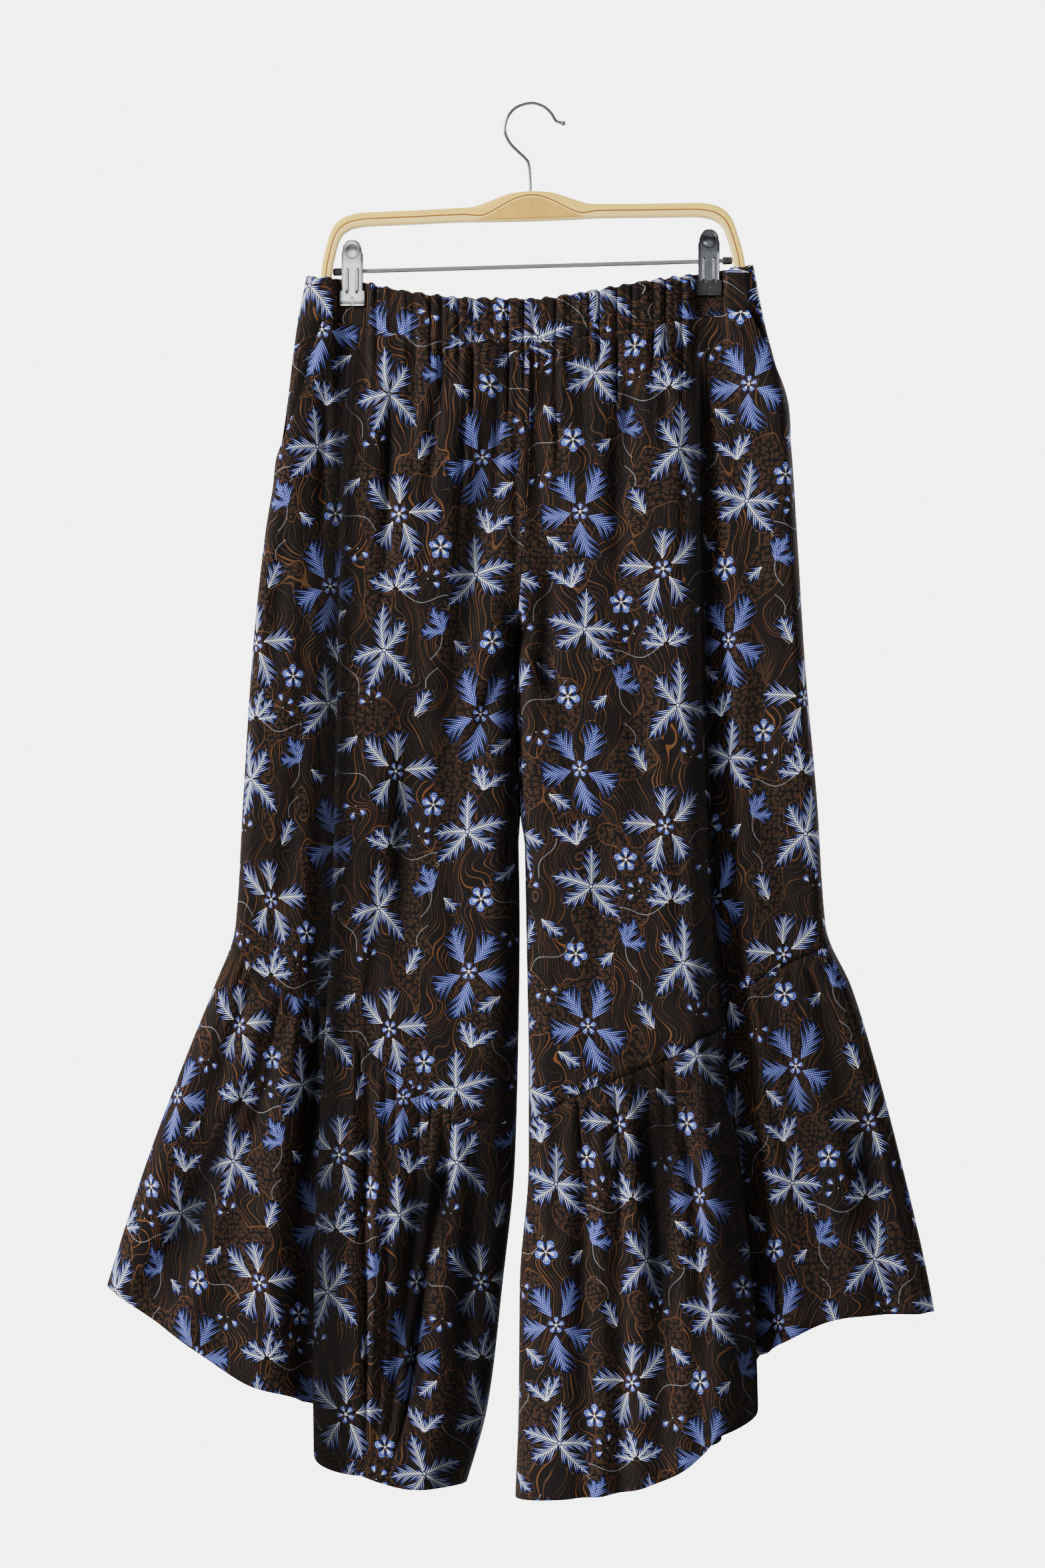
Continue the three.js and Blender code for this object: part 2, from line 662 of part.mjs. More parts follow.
// One side of the waistband: fixed turns at the ends, flat in the jaws, gathered between.
function waistband(face) {
  const sign = face === "front" ? -1 : 1;
  const seed = face === "front" ? 0.5 : 2.9;
  const stops = [
    { x: -191, cells: 4 },
    { x: -179.5, cells: 5 },
    { x: -173.5, cells: 3 },
    { x: -148.5, cells: 4 },
    { x: -142.5, cells: 3 },
    { x: 141.5, cells: GATHERS_BETWEEN_CLIPS * 4 },
    { x: 147.5, cells: 3 },
    { x: 172.5, cells: 4 },
    { x: 178.5, cells: 3 },
    { x: 189, cells: 5 },
  ];
  const ends = { left: -201.8, right: 199.4 };
  const columns = [];
  const turnCells = stops[0].cells;
  for (let i = 0; i < turnCells; i += 1) {
    const p = i / turnCells;
    const reach = stops[0].x - ends.left;
    const round = rounding(p, reach);
    columns.push({ x: ends.left + round.across, out: round.out });
  }
  for (let s = 1; s < stops.length; s += 1) {
    for (let i = 0; i < stops[s].cells; i += 1) {
      columns.push({ x: mix(stops[s - 1].x, stops[s].x, i / stops[s].cells), out: 1 });
    }
  }
  for (let i = 0; i <= turnCells; i += 1) {
    const round = rounding(1 - i / turnCells, ends.right - stops.at(-1).x);
    columns.push({ x: ends.right - round.across, out: round.out });
  }
  const gathered = stops[5].x - stops[4].x;
  const rows = BAND_ROWS.map((v) =>
    columns.map(({ x, out }) => {
      const ripple = gather((GATHERS_BETWEEN_CLIPS * (x - stops[4].x)) / gathered, seed);
      const z = waistEdge(x) - v * (BAND_HEIGHT - SEAM / 2);
      const free = 1 - pinch(x, z);
      const ruffle = v === 0 ? 1.1 * free * out * ripple : 0;
      const level = waistLevel(x, z) + 2.3 * free * smoothstep(free, 0, 1) * ripple * (1 - 0.6 * v);
      return new THREE.Vector3(x, sign * Math.max(SEAM / 2, level * out), z + ruffle);
    }));
  return mesh(`waistband_${face}`, wall(rows, BAND), MATERIALS.batik);
}

// Hanger pieces

const wasm = await Module();
wasm.setup();

function solid(geometry) {
  geometry.deleteAttribute("normal");
  geometry.deleteAttribute("uv");
  const merged = mergeVertices(geometry, 1e-4);
  const vertProperties = new Float32Array(merged.attributes.position.array);
  const triVerts = new Uint32Array(merged.index.array);
  return new wasm.Manifold(new wasm.Mesh({ numProp: 3, vertProperties, triVerts }));
}
function geometryOf(manifold) {
  const { vertProperties, triVerts } = manifold.getMesh();
  return facingOut(Array.from(vertProperties), Array.from(triVerts));
}

// An outline in X and Z, extruded evenly to both sides of the plane y = 0.
function slab(shape, depth, bevel) {
  const geometry = new THREE.ExtrudeGeometry(shape, {
    depth: depth - 2 * bevel,
    bevelEnabled: bevel > 0,
    bevelSize: bevel,
    bevelThickness: bevel,
    bevelOffset: -bevel,
    bevelSegments: 1,
  });
  geometry.translate(0, 0, -depth / 2 + bevel);
  geometry.rotateX(QUARTER);
  return geometry;
}

function lens(half, top, bottom) {
  const shape = new THREE.Shape();
  const steps = 12;
  for (let i = 0; i <= steps; i += 1) {
    const x = mix(-half, half, i / steps);
    const rise = Math.cos((QUARTER * x) / half) ** 1.6;
    const z = mix(bottom, top, rise);
    if (i === 0) shape.moveTo(x, z);
    else shape.lineTo(x, z);
  }
  shape.closePath();
  return shape;
}

function hangerFrame() {
  const mirrored = (rows) => rows.map(({ x, z }) => ({ x: -x, z }));
  const left = [...mirrored(FRAME_OUTER).reverse(), { x: 0, z: 0 }];
  const end = FRAME_END;
  const outline = [
    ...left,
    ...FRAME_OUTER,
    { x: end.outer, z: end.z },
    { x: end.inner, z: end.z },
    ...FRAME_INNER,
    { x: 0, z: FRAME_UNDERSIDE },
    ...mirrored(FRAME_INNER).reverse(),
    { x: -end.inner, z: end.z },
    { x: -end.outer, z: end.z },
  ];
  const shape = new THREE.Shape(outline.map(({ x, z }) => new THREE.Vector2(x, z)));
  const bar = solid(slab(shape, FRAME.depth, FRAME.bevel));
  const room = SEAM * 0.6;
  const hole = lens(BLOCK.half + 3.5, BLOCK.top + room, BLOCK.bottom - room);
  const bore = new THREE.CylinderGeometry(WIRE.radius + WIRE.stemClear, WIRE.radius + WIRE.stemClear, 12, 16);
  bore.rotateX(QUARTER);
  bore.translate(0, 0, -3);
  const cut = bar.subtract(solid(slab(hole, FRAME.depth + 4, 0))).subtract(solid(bore));
  return mesh("hanger_frame", geometryOf(cut), MATERIALS.wood);
}

function tube(name, outer, bore, length, material) {
  const half = length / 2;
  const profile = [
    [bore, -half],
    [outer, -half],
    [outer, half],
    [bore, half],
    [bore, -half],
  ].map(([x, y]) => new THREE.Vector2(x, y));
  const geometry = mergeBare(new THREE.LatheGeometry(profile, 14));
  geometry.rotateZ(QUARTER);
  return mesh(name, geometry, material);
}
function mergeBare(geometry) {
  geometry.deleteAttribute("normal");
  geometry.deleteAttribute("uv");
  const merged = mergeVertices(geometry, 1e-4);
  return facingOut(Array.from(merged.attributes.position.array), Array.from(merged.index.array));
}

function clipPlate(name, sign) {
  const rows = PLATE.map(({ down, half, out }) =>
    [-1, -0.5, 0, 0.5, 1].map((c) => new THREE.Vector3(c * half, sign * out, -down)));
  return mesh(name, wall(rows, PLATE_THICK), MATERIALS.chrome);
}

function hook() {
  const line = new THREE.CatmullRomCurve3(HOOK_LINE.map(({ x, z }) => new THREE.Vector3(x, 0, z)));
  const round = new THREE.Shape();
  round.absarc(0, 0, WIRE.radius, 0, 2 * Math.PI, false);
  const wire = new THREE.ExtrudeGeometry(round, { steps: 40, extrudePath: line, curveSegments: 4 });
  const ball = new THREE.SphereGeometry(BALL.radius, 10, 8);
  ball.translate(BALL.x, 0, BALL.z);
  return mesh("hanger_hook", geometryOf(solid(wire).add(solid(ball))), MATERIALS.chrome);
}

function hanger() {
  const group = new THREE.Group();
  group.add(hangerFrame());
  const block = lens(BLOCK.half, BLOCK.top, BLOCK.bottom);
  group.add(mesh("hanger_block", slab(block, FRAME.depth - 0.6, 0), MATERIALS.block));
  const rod = new THREE.CylinderGeometry(ROD.radius, ROD.radius, 2 * ROD.halfLength, 12);
  rod.rotateZ(QUARTER);
  rod.translate(0, 0, ROD.z);
  group.add(mesh("hanger_rod", rod, MATERIALS.chrome));
  for (const [name, way] of [["left", -1], ["right", 1]]) {
    const cap = tube(`rod_cap_${name}`, CAP.radius, CAP.bore, CAP.length, MATERIALS.rubber);
    cap.position.set(way * (ROD.halfLength - CAP.length / 2 - 0.4), 0, ROD.z);
    group.add(cap);
  }
  group.position.set(FRAME.centre, 0, FRAME.top);
  group.rotation.y = -TILT;
  return group;
}

// Each clip hangs on the rod by a barrel between its two plates.
function clips() {
  const group = new THREE.Group();
  for (const { name, x, top } of CLIPS) {
    const clip = new THREE.Group();
    clip.add(clipPlate(`clip_${name}_front`, -1));
    clip.add(clipPlate(`clip_${name}_back`, 1));
    const barrel = tube(`clip_${name}_barrel`, BARREL.radius, BARREL.bore, BARREL.length, MATERIALS.chrome);
    const rodHeight = FRAME.top + ROD.z + (x - FRAME.centre) * Math.tan(TILT);
    barrel.position.z = rodHeight - top;
    barrel.rotation.y = -TILT;
    clip.add(barrel);
    clip.position.set(x, 0, top);
    group.add(clip);
  }
  return group;
}

// The whole

const trousers = new THREE.Group();
for (const face of ["front", "back"]) {
  trousers.add(waistband(face));
  for (const name of ["left", "right"]) {
    trousers.add(legPanel(name, face));
    trousers.add(flouncePanel(name, face));
  }
}
for (const name of ["left", "right"]) trousers.add(pocketFacing(name));

const part = new THREE.Group();
part.add(trousers, hanger(), hook(), clips());

export default part;
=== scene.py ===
# %% [markdown]
# # Batik trousers on a clip hanger
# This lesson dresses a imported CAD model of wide-leg trousers. The real ones are cut from
# printed cotton: a waistband gathered on elastic, two front and two back legs, and a
# gathered flounce round each hem. They hang by two clips from a bent wooden hanger.
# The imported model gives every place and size. This script only adds looks.

import math

import bmesh
import bpy
import numpy as np
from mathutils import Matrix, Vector


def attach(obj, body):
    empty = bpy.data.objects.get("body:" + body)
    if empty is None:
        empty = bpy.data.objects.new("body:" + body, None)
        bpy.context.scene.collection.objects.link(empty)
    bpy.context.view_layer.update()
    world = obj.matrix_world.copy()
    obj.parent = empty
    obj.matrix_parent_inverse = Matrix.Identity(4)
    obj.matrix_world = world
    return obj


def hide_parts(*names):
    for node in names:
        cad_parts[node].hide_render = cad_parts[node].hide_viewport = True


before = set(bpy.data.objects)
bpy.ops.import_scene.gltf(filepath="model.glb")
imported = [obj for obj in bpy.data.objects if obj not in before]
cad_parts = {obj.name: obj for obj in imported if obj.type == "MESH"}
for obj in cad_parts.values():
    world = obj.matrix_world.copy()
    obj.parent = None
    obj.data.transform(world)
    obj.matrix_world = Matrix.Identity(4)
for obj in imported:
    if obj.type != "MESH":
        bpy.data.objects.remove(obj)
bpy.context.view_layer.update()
print("nodes", len(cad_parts))

# %% [markdown]
# ## The camera
# The photograph looks straight at the front of the trousers from a few metres away.
# A long lens at 3.6 m keeps the legs parallel, as they are in the picture. It is placed
# first, so that every later piece can be judged in the same frame.

# %% Camera
IMAGE = (1568, 2352)
MM_PER_PIXEL = 0.6
AIM = Vector((-0.0078, 0.0, -0.6114))
DISTANCE = 3.6



def add_object(name, data):
    """An object of the scene that holds some data."""
    thing = bpy.data.objects.new(name, data)
    bpy.context.scene.collection.objects.link(thing)
    return thing


lens_data = bpy.data.cameras.new("camera")
lens_data.sensor_fit = "AUTO"
lens_data.sensor_width = 36
lens_data.lens = 36 * DISTANCE / (IMAGE[1] * MM_PER_PIXEL / 1000)
lens_data.clip_start = 0.05
lens_data.clip_end = 60
camera = add_object("camera", lens_data)
camera.location = AIM + Vector((0, -DISTANCE, 0))
camera.rotation_euler = (math.radians(90), 0, 0)
bpy.context.scene.camera = camera
print("lens", round(lens_data.lens, 1), "mm")

# %% [markdown]
# ## Reading the cutting tables
# A garment is drawn with smooth lines through a few measured points. The same tables that
# shape the CAD solids are repeated here, in millimetres, because each cloth shell has to
# lie on its solid. The curve passes through every row and never overshoots between two.

# %% Tables of the garment
WAIST_EDGE = [                     # x, z of the waistband's upper edge
    (-203, -155), (-160, -158.5), (-124, -167), (-60, -175), (0, -176),
    (50, -169.5), (100, -160.5), (160, -151.5), (201, -144.5),
]
FLOUNCE_SEAM = {                   # x, z
    "left": [(-269, -749), (-248, -777), (-217, -799), (-190, -812), (-116, -873),
             (-55, -910), (-10, -917)],
    "right": [(-4, -914), (30, -894), (96, -866), (134, -851), (179, -808),
              (206, -784), (267, -755)],
}
HEM = {                            # x, z
    "left": [(-382, -1061), (-317, -1106), (-254, -1148), (-210, -1163), (-180, -1192),
             (-152, -1227), (-98, -1241), (-58, -1238)],
    "right": [(-14, -1252), (58, -1247), (112, -1235), (150, -1212), (187, -1158),
              (222, -1114), (290, -1088), (360, -1085)],
}
SECTIONS = {                       # z, outer, inner, depth, turn
    "left": [
        (-155, -201, -15, 14, 14), (-197, -210, -15, 16, 14), (-290, -222, -15, 22, 14),
        (-386, -239, -15, 25, 14), (-500, -251, -15, 26, 14), (-626, -259, -12.5, 25, 18),
        (-740, -266, -10.5, 24, 24), (-794, -285, -11, 25, 26), (-851, -308, -12, 26, 28),
        (-952, -346, -15, 28, 30), (-1061, -381, -26, 31, 34), (-1168, -412, -39, 33, 38),
        (-1252, -436, -62, 34, 40),
    ],
    "right": [
        (-144, 198, -12, 14, 14), (-197, 210, -12, 16, 14), (-290, 232, -12, 22, 14),
        (-386, 239, -12, 25, 14), (-500, 246, -12, 26, 14), (-626, 257, -6.5, 25, 16),
        (-740, 265, -4, 24, 18), (-794, 288, -3, 25, 18), (-851, 306, -2, 26, 18),
        (-952, 333, -2, 28, 20), (-1061, 358, -10, 31, 22), (-1168, 376, -11, 33, 24),
        (-1252, 390, -14, 34, 24),
    ],
}
CENTRE_SEAM = [                    # z, x; the legs go on touching down to the last row
    (-170, -1), (-300, -2), (-400, -7), (-500, -13), (-570, -12.2), (-640, -9.8), (-700, -8),
]
POCKETS = {                        # z, x of each slant pocket edge
    "left": [(-190, -185), (-222, -196), (-260, -206), (-299, -219), (-335, -232)],
    "right": [(-178, 191), (-209, 206), (-241, 219), (-262, 226.5), (-290, 232)],
}
LONG_FOLDS = {                     # z, edge, half, lap, drop, rise
    "left": [
        (-190, -160, 6, 0, 0, 0), (-300, -165, 9, 1.5, 4, 2), (-410, -170, 12, 4.5, 6, 3),
        (-590, -173, 14, 7, 7, 4), (-716, -175, 15, 9, 8, 4), (-851, -179, 19, 14, 9, 5),
        (-986, -182, 23, 20, 10, 6), (-1148, -180, 26, 26, 11, 7), (-1252, -177, 27, 28, 11, 7),
    ],
    "right": [
        (-180, 156, 6, 0, 0, 0), (-300, 155, 8, 1, 3, 2), (-464, 155, 10, 3, 5, 3),
        (-590, 158, 12, 5, 6, 4), (-689, 160, 14, 8, 8, 4), (-851, 170, 18, 13, 9, 5),
        (-986, 181, 22, 19, 10, 6), (-1103, 188, 24, 23, 11, 7), (-1252, 190, 25, 25, 11, 7),
    ],
}
TROUGHS = {                        # x, z, reach, width, depth, drift
    "front": [
        (-55, -410, 210, 14, 5, 0.11), (3, -300, 100, 9, 4, -0.04), (-111, -280, 42, 9, 3, 0.22),
        (87, -276, 36, 9, 3, 0.07), (92, -560, 150, 16, 3, -0.05), (-112, -640, 160, 17, 3, 0.04),
        (108, -985, 120, 14, 8, -0.09), (301, -945, 62, 13, 6, -0.1),
        (-104, -1060, 130, 15, 7, 0.05), (-298, -985, 90, 16, 6, 0.3),
    ],
    "back": [
        (60, -390, 190, 15, 5, -0.1), (-2, -300, 110, 9, 4, 0.03), (-98, -300, 50, 10, 3, 0.15),
        (-70, -700, 140, 15, 3, 0.04), (96, -1010, 110, 15, 7, -0.06),
        (-262, -960, 80, 15, 6, 0.25), (268, -1000, 80, 15, 6, -0.2),
    ],
}
SEAM = 0.1                         # the shells meet where the solids stay half a millimetre apart
CLOTH = 0.9                        # thickness of the cotton
LAP = 2.9
BAND_HEIGHT = 40
POCKET_TURN = 12
SHORT_OF_POCKET = 12
UNDERLAP = 9
CLIPS = {"left": (-161, -123), "right": (160, -113.5)}     # x and top of each clip


def curve(rows, along, column):
    """A smooth curve through one column of a table, read at many places at once."""
    rows = sorted(rows, key=lambda row: row[along])
    at = np.array([row[along] for row in rows], float)
    value = np.array([row[column] for row in rows], float)
    step = np.diff(value) / np.diff(at)
    before, after = step[:-1], step[1:]
    rising = before * after > 0
    slope = np.empty(len(at))
    slope[0], slope[-1] = step[0], step[-1]
    slope[1:-1] = np.where(rising, 2 * before * after / np.where(rising, before + after, 1), 0)

    def read(x):
        x = np.asarray(x, float)
        i = np.clip(np.searchsorted(at, x) - 1, 0, len(at) - 2)
        width = at[i + 1] - at[i]
        t = np.clip((x - at[i]) / width, 0, 1)
        rest = 1 - t
        first = value[i] * (1 + 2 * t) * rest**2 + slope[i] * width * t * rest**2
        second = value[i + 1] * t**2 * (3 - 2 * t) - slope[i + 1] * width * t**2 * rest
        past = slope[0] * np.minimum(x - at[0], 0) + slope[-1] * np.maximum(x - at[-1], 0)
        return first + second + past

    return read


waist_edge = curve(WAIST_EDGE, 0, 1)
print("waist edge at the middle", float(waist_edge(0)), "mm")

# %% [markdown]
# ## How the cloth bends
# Cloth that is gathered stands in uneven waves, and cloth that hangs makes a few long
# folds and many short creases. A simulation could find them, but these hang as the
# picture shows, so each main crease is listed: where it is, how long, how wide and
# how deep. Small waves come from sums of sines whose size and spacing wander.

# %% Waves, creases and the waist


def mix(a, b, t):
    return a + (b - a) * t


def smooth(x, low, high):
    t = np.clip((x - low) / (high - low), 0, 1)
    return t * t * (3 - 2 * t)


def gather(turns, seed):
    """Uneven waves, one for each turn."""
    wander = 0.5 * np.sin(turns * 0.9 + seed) + 0.35 * np.sin(turns * 2.3 + 2 * seed)
    size = 0.75 + 0.25 * np.sin(turns * 1.7 + 3 * seed)
    return size * np.cos(2 * np.pi * turns + wander)


def pleat(turns, seed):
    """Uneven gathers with broad ridges and narrow deep troughs, one for each turn."""
    wander = 0.16 * np.sin(turns * 1.3 + seed) + 0.12 * np.sin(turns * 3.1 + 2 * seed)
    size = 0.72 + 0.28 * np.sin(turns * 2.1 + 3 * seed)
    return size * (2 * np.abs(np.cos(np.pi * (turns + wander))) ** 0.55 - 1.25)


def hump(x, reach):
    """1 at x = 0, falling softly to almost nothing at twice the reach."""
    return np.exp(-((x / reach) ** 2))


def pinch(x, z):
    """How firmly the clips press the cloth together: 1 in the jaws, less below them."""
    most = np.zeros(np.broadcast(x, z).shape)
    for clip_x, clip_top in CLIPS.values():
        side = 1 - smooth(np.abs(x - clip_x), 12.2, 17.8)
        under = np.clip((clip_top - 58.5 - z) / 18, 0, 1)
        most = np.maximum(most, side * (1 - 0.3 * smooth(under, 0, 1)))
    return most


def waist_level(x, z):
    """Distance of the waistband from the plane between front and back."""
    open_by = mix(9.6, 15.0, smooth(160 - np.abs(x), 10, 70))
    return mix(open_by, 1.6, pinch(x, z))


def creases(rows, x, z):
    """Soft troughs, each with a centre, half length, half width, depth and lean."""
    depth = 0
    for at_x, at_z, reach, width, deep, lean in rows:
        side = (x - at_x - lean * (z - at_z)) / width
        along = (z - at_z) / reach
        depth = depth + deep * np.exp(-side * side - along * along)
    return depth


def rounding(p, reach):
    """A wall that comes round from a side seam: p = 1 ends the quarter turn."""
    straight = reach * (1 + (p - 1) * np.pi / 2)
    turned = np.cos(np.clip(p, 0, 1) * np.pi / 2)
    across = np.where(p >= 1, straight, reach * (1 - turned))
    out = np.sin(np.clip(p, 0, 1) * np.pi / 2)
    return across, out, np.where(p >= 1, 0, turned)


def rounding_at(across, reach):
    near = np.arccos(1 - np.clip(across, 0, reach) / reach) / (np.pi / 2)
    return np.where(across < reach, near, 1 + (across / reach - 1) / (np.pi / 2))


# %% [markdown]
# ## Fine creases
# These are the ones a solid model leaves out: the gathers that run on below the waist
# seam, the drag lines at the crotch, the puckers under the flounce seam and the soft
# dents down each leg. Each row is x, z, half length, half width, depth and lean.

# %% Fine creases
FINE = {
    "front": [
        (-186, -300, 120, 6, 2.6, 0.02), (-128, -320, 110, 6, 3.6, 0.03), (-86, -275, 80, 5.5, 3.2, 0.08),
        (-60, -290, 110, 4.5, 2.4, 0.06), (-30, -275, 90, 5, 2.8, 0.02), (-14, -330, 130, 4.5, 1.8, 0.0),
        (22, -262, 70, 4.5, 2.4, -0.05), (46, -270, 60, 5, 2.2, -0.03), (72, -300, 90, 5, 1.8, -0.02),
        (120, -262, 60, 5, 2.0, 0.04), (138, -330, 130, 6, 2.2, 0.02), (182, -300, 90, 6, 1.6, -0.06),
        (-22, -505, 60, 7, 2.4, 0.5), (6, -500, 55, 7, 2.2, -0.55), (-44, -560, 80, 9, 1.8, 0.25),
        (28, -570, 90, 9, 1.6, -0.22), (-205, -520, 170, 10, 2.0, 0.05), (205, -560, 190, 11, 1.8, -0.03),
        (-222, -690, 70, 9, 1.6, 0.12), (-140, -760, 90, 8, 2.2, 0.05), (-70, -740, 120, 10, 1.8, -0.03),
        (60, -720, 120, 10, 1.8, 0.04), (132, -700, 110, 8, 2.0, -0.04), (225, -700, 80, 9, 1.8, -0.1),
        (-236, -875, 70, 7, 2.4, 0.34), (-262, -900, 60, 6, 2.2, 0.42), (-204, -930, 90, 8, 2.6, 0.16),
        (-150, -960, 70, 7, 2.4, 0.08), (-128, -1090, 110, 9, 2.2, 0.0), (-76, -985, 60, 6, 2.2, -0.02),
        (-56, -1040, 130, 13, 5.5, 0.068), (24, -960, 60, 6, 2.2, 0.05), (44, -1040, 110, 9, 2.4, 0.02),
        (76, -950, 70, 6, 2.2, -0.05), (136, -930, 60, 6, 2.6, -0.16), (152, -1060, 110, 9, 2.4, -0.12),
        (216, -900, 80, 7, 2.4, -0.3), (248, -905, 70, 7, 2.2, -0.36), (262, -1000, 80, 10, 2.0, -0.28),
        (330, -1010, 50, 8, 1.8, -0.4), (-330, -1030, 50, 8, 1.8, 0.5),
        (121, -915, 75, 9, 3.6, -0.05), (14, -470, 70, 8, 3.0, 0.05), (80, -330, 80, 7, 2.4, 0.02),
        (-228, -450, 70, 10, 2.2, 0.07), (-118, -665, 80, 9, 2.6, 0.0), (-84, -985, 40, 12, 3.0, 0.1),
    ],
    "back": [
        (-180, -290, 100, 6, 2.4, 0.03), (-140, -280, 80, 5, 2.4, 0.04), (-96, -262, 60, 5, 2.4, 0.05),
        (-48, -290, 90, 5, 2.6, 0.03), (-22, -270, 70, 5, 2.2, 0.0), (16, -300, 110, 5, 2.2, -0.02),
        (40, -262, 60, 5, 2.2, -0.03), (92, -280, 80, 5, 2.4, 0.02), (128, -270, 60, 5, 2.0, 0.04),
        (176, -310, 110, 6, 2.2, -0.03), (-30, -510, 70, 8, 2.4, 0.42), (14, -505, 60, 8, 2.2, -0.46),
        (-90, -470, 110, 10, 1.8, 0.2), (96, -520, 120, 10, 1.8, -0.18), (-200, -600, 160, 10, 1.8, 0.03),
        (196, -620, 150, 10, 1.8, -0.04), (52, -740, 110, 9, 1.8, 0.03), (-240, -880, 70, 7, 2.2, 0.36),
        (-176, -930, 80, 7, 2.4, 0.14), (-120, -1000, 110, 9, 2.4, 0.02), (-60, -960, 60, 7, 2.2, -0.04),
        (30, -1010, 110, 9, 2.2, 0.03), (66, -950, 60, 6, 2.2, -0.02), (140, -960, 80, 7, 2.4, -0.12),
        (200, -900, 70, 7, 2.2, -0.26), (240, -930, 80, 8, 2.2, -0.34), (-320, -1010, 60, 9, 2.0, 0.45),
    ],
}
CREASE_DEPTH = 1.9
TROUGH_DEPTH = 1.55
VALLEY = 9.0                       # how far the cloth dips beside a long fold
BAND_GATHERS = 20
GATHERS_FROM = -142.5              # where the gathers begin beside the left clip
GATHERED_RUN = 284
BAND_SEED = {"front": 0.5, "back": 2.9}
print("fine creases", {face: len(rows) for face, rows in FINE.items()})


def band_turns(x):
    return BAND_GATHERS * (x - GATHERS_FROM) / GATHERED_RUN


def waist_gather(x, face):
    """The waistband's gathers by x, so that they run on across the waist seam."""
    seed = BAND_SEED[face]
    turns = band_turns(x)
    return pleat(turns, seed) + 0.3 * gather(1.9 * turns + 0.3, seed + 1.2)


# %% [markdown]
# ## The leg surface
# A leg is a flattened tube. Across it there are five zones from the outseam to the inner
# edge: the turn, the outer run, the long fold where the inner half laps over the outer
# half, the inner run and the turn at the inner edge. The rule below gives a point for any
# zone, place across it and height, so panels can be cut from it with any number of cells.

# %% Leg surface
LEG_NAMES = ("left", "right")
SEAM_DIP = 1.0                     # how far the cloth dips in at a seam
DIP_REACH = 1.8
GATHERS_PER_LEG = 7
FACES = {"front": -1, "back": 1}   # and the way that each looks along y


def leg_side(name, face):
    """Everything that shapes one side of one leg."""
    inward = 1 if name == "left" else -1
    front = face == "front"
    rows = SECTIONS[name]
    folds = LONG_FOLDS[name]
    size = 1.0 if front else 0.75
    shift = 0 if front else inward * 24
    section = [curve(rows, 0, column) for column in (1, 2, 3, 4)]
    fold = [curve(folds, 0, column) for column in (1, 2, 3, 4, 5)]
    centre = curve(CENTRE_SEAM, 0, 1)
    pocket = curve(POCKETS[name], 0, 1)
    pocket_end = POCKETS[name][-1][0]

    def fold_at(z):
        edge, half, lap, drop, rise = [read(z) for read in fold]
        return edge + shift, half, lap * size, drop * size, rise * size

    def crotch(z):
        return smooth(z, -500, -425)

    def inner_edge(z):
        apart = (SEAM + CLOTH * np.cos(crotch(z) * np.pi / 2)) / 2 - 0.13 * smooth(-z, 395, 425)
        return mix(section[1](z), centre(z) - inward * apart, smooth(z, -668, -638))

    def cut_out(z):
        shown = np.maximum(0, inward * (pocket(z) - section[0](z)))
        return np.where(z > pocket_end, shown, 0) if front else np.zeros(np.shape(z))

    return {
        "face": face, "front": front, "inward": inward, "sign": FACES[face],
        "section": section, "fold": fold_at, "crotch": crotch, "inner_edge": inner_edge,
        "cut_out": cut_out, "pocket_end": pocket_end,
        "seed": (0 if front else 2.1) + (0.4 if name == "left" else 1.3), "fine": True,
    }


def waist_seam(x):
    return waist_edge(x) - BAND_HEIGHT


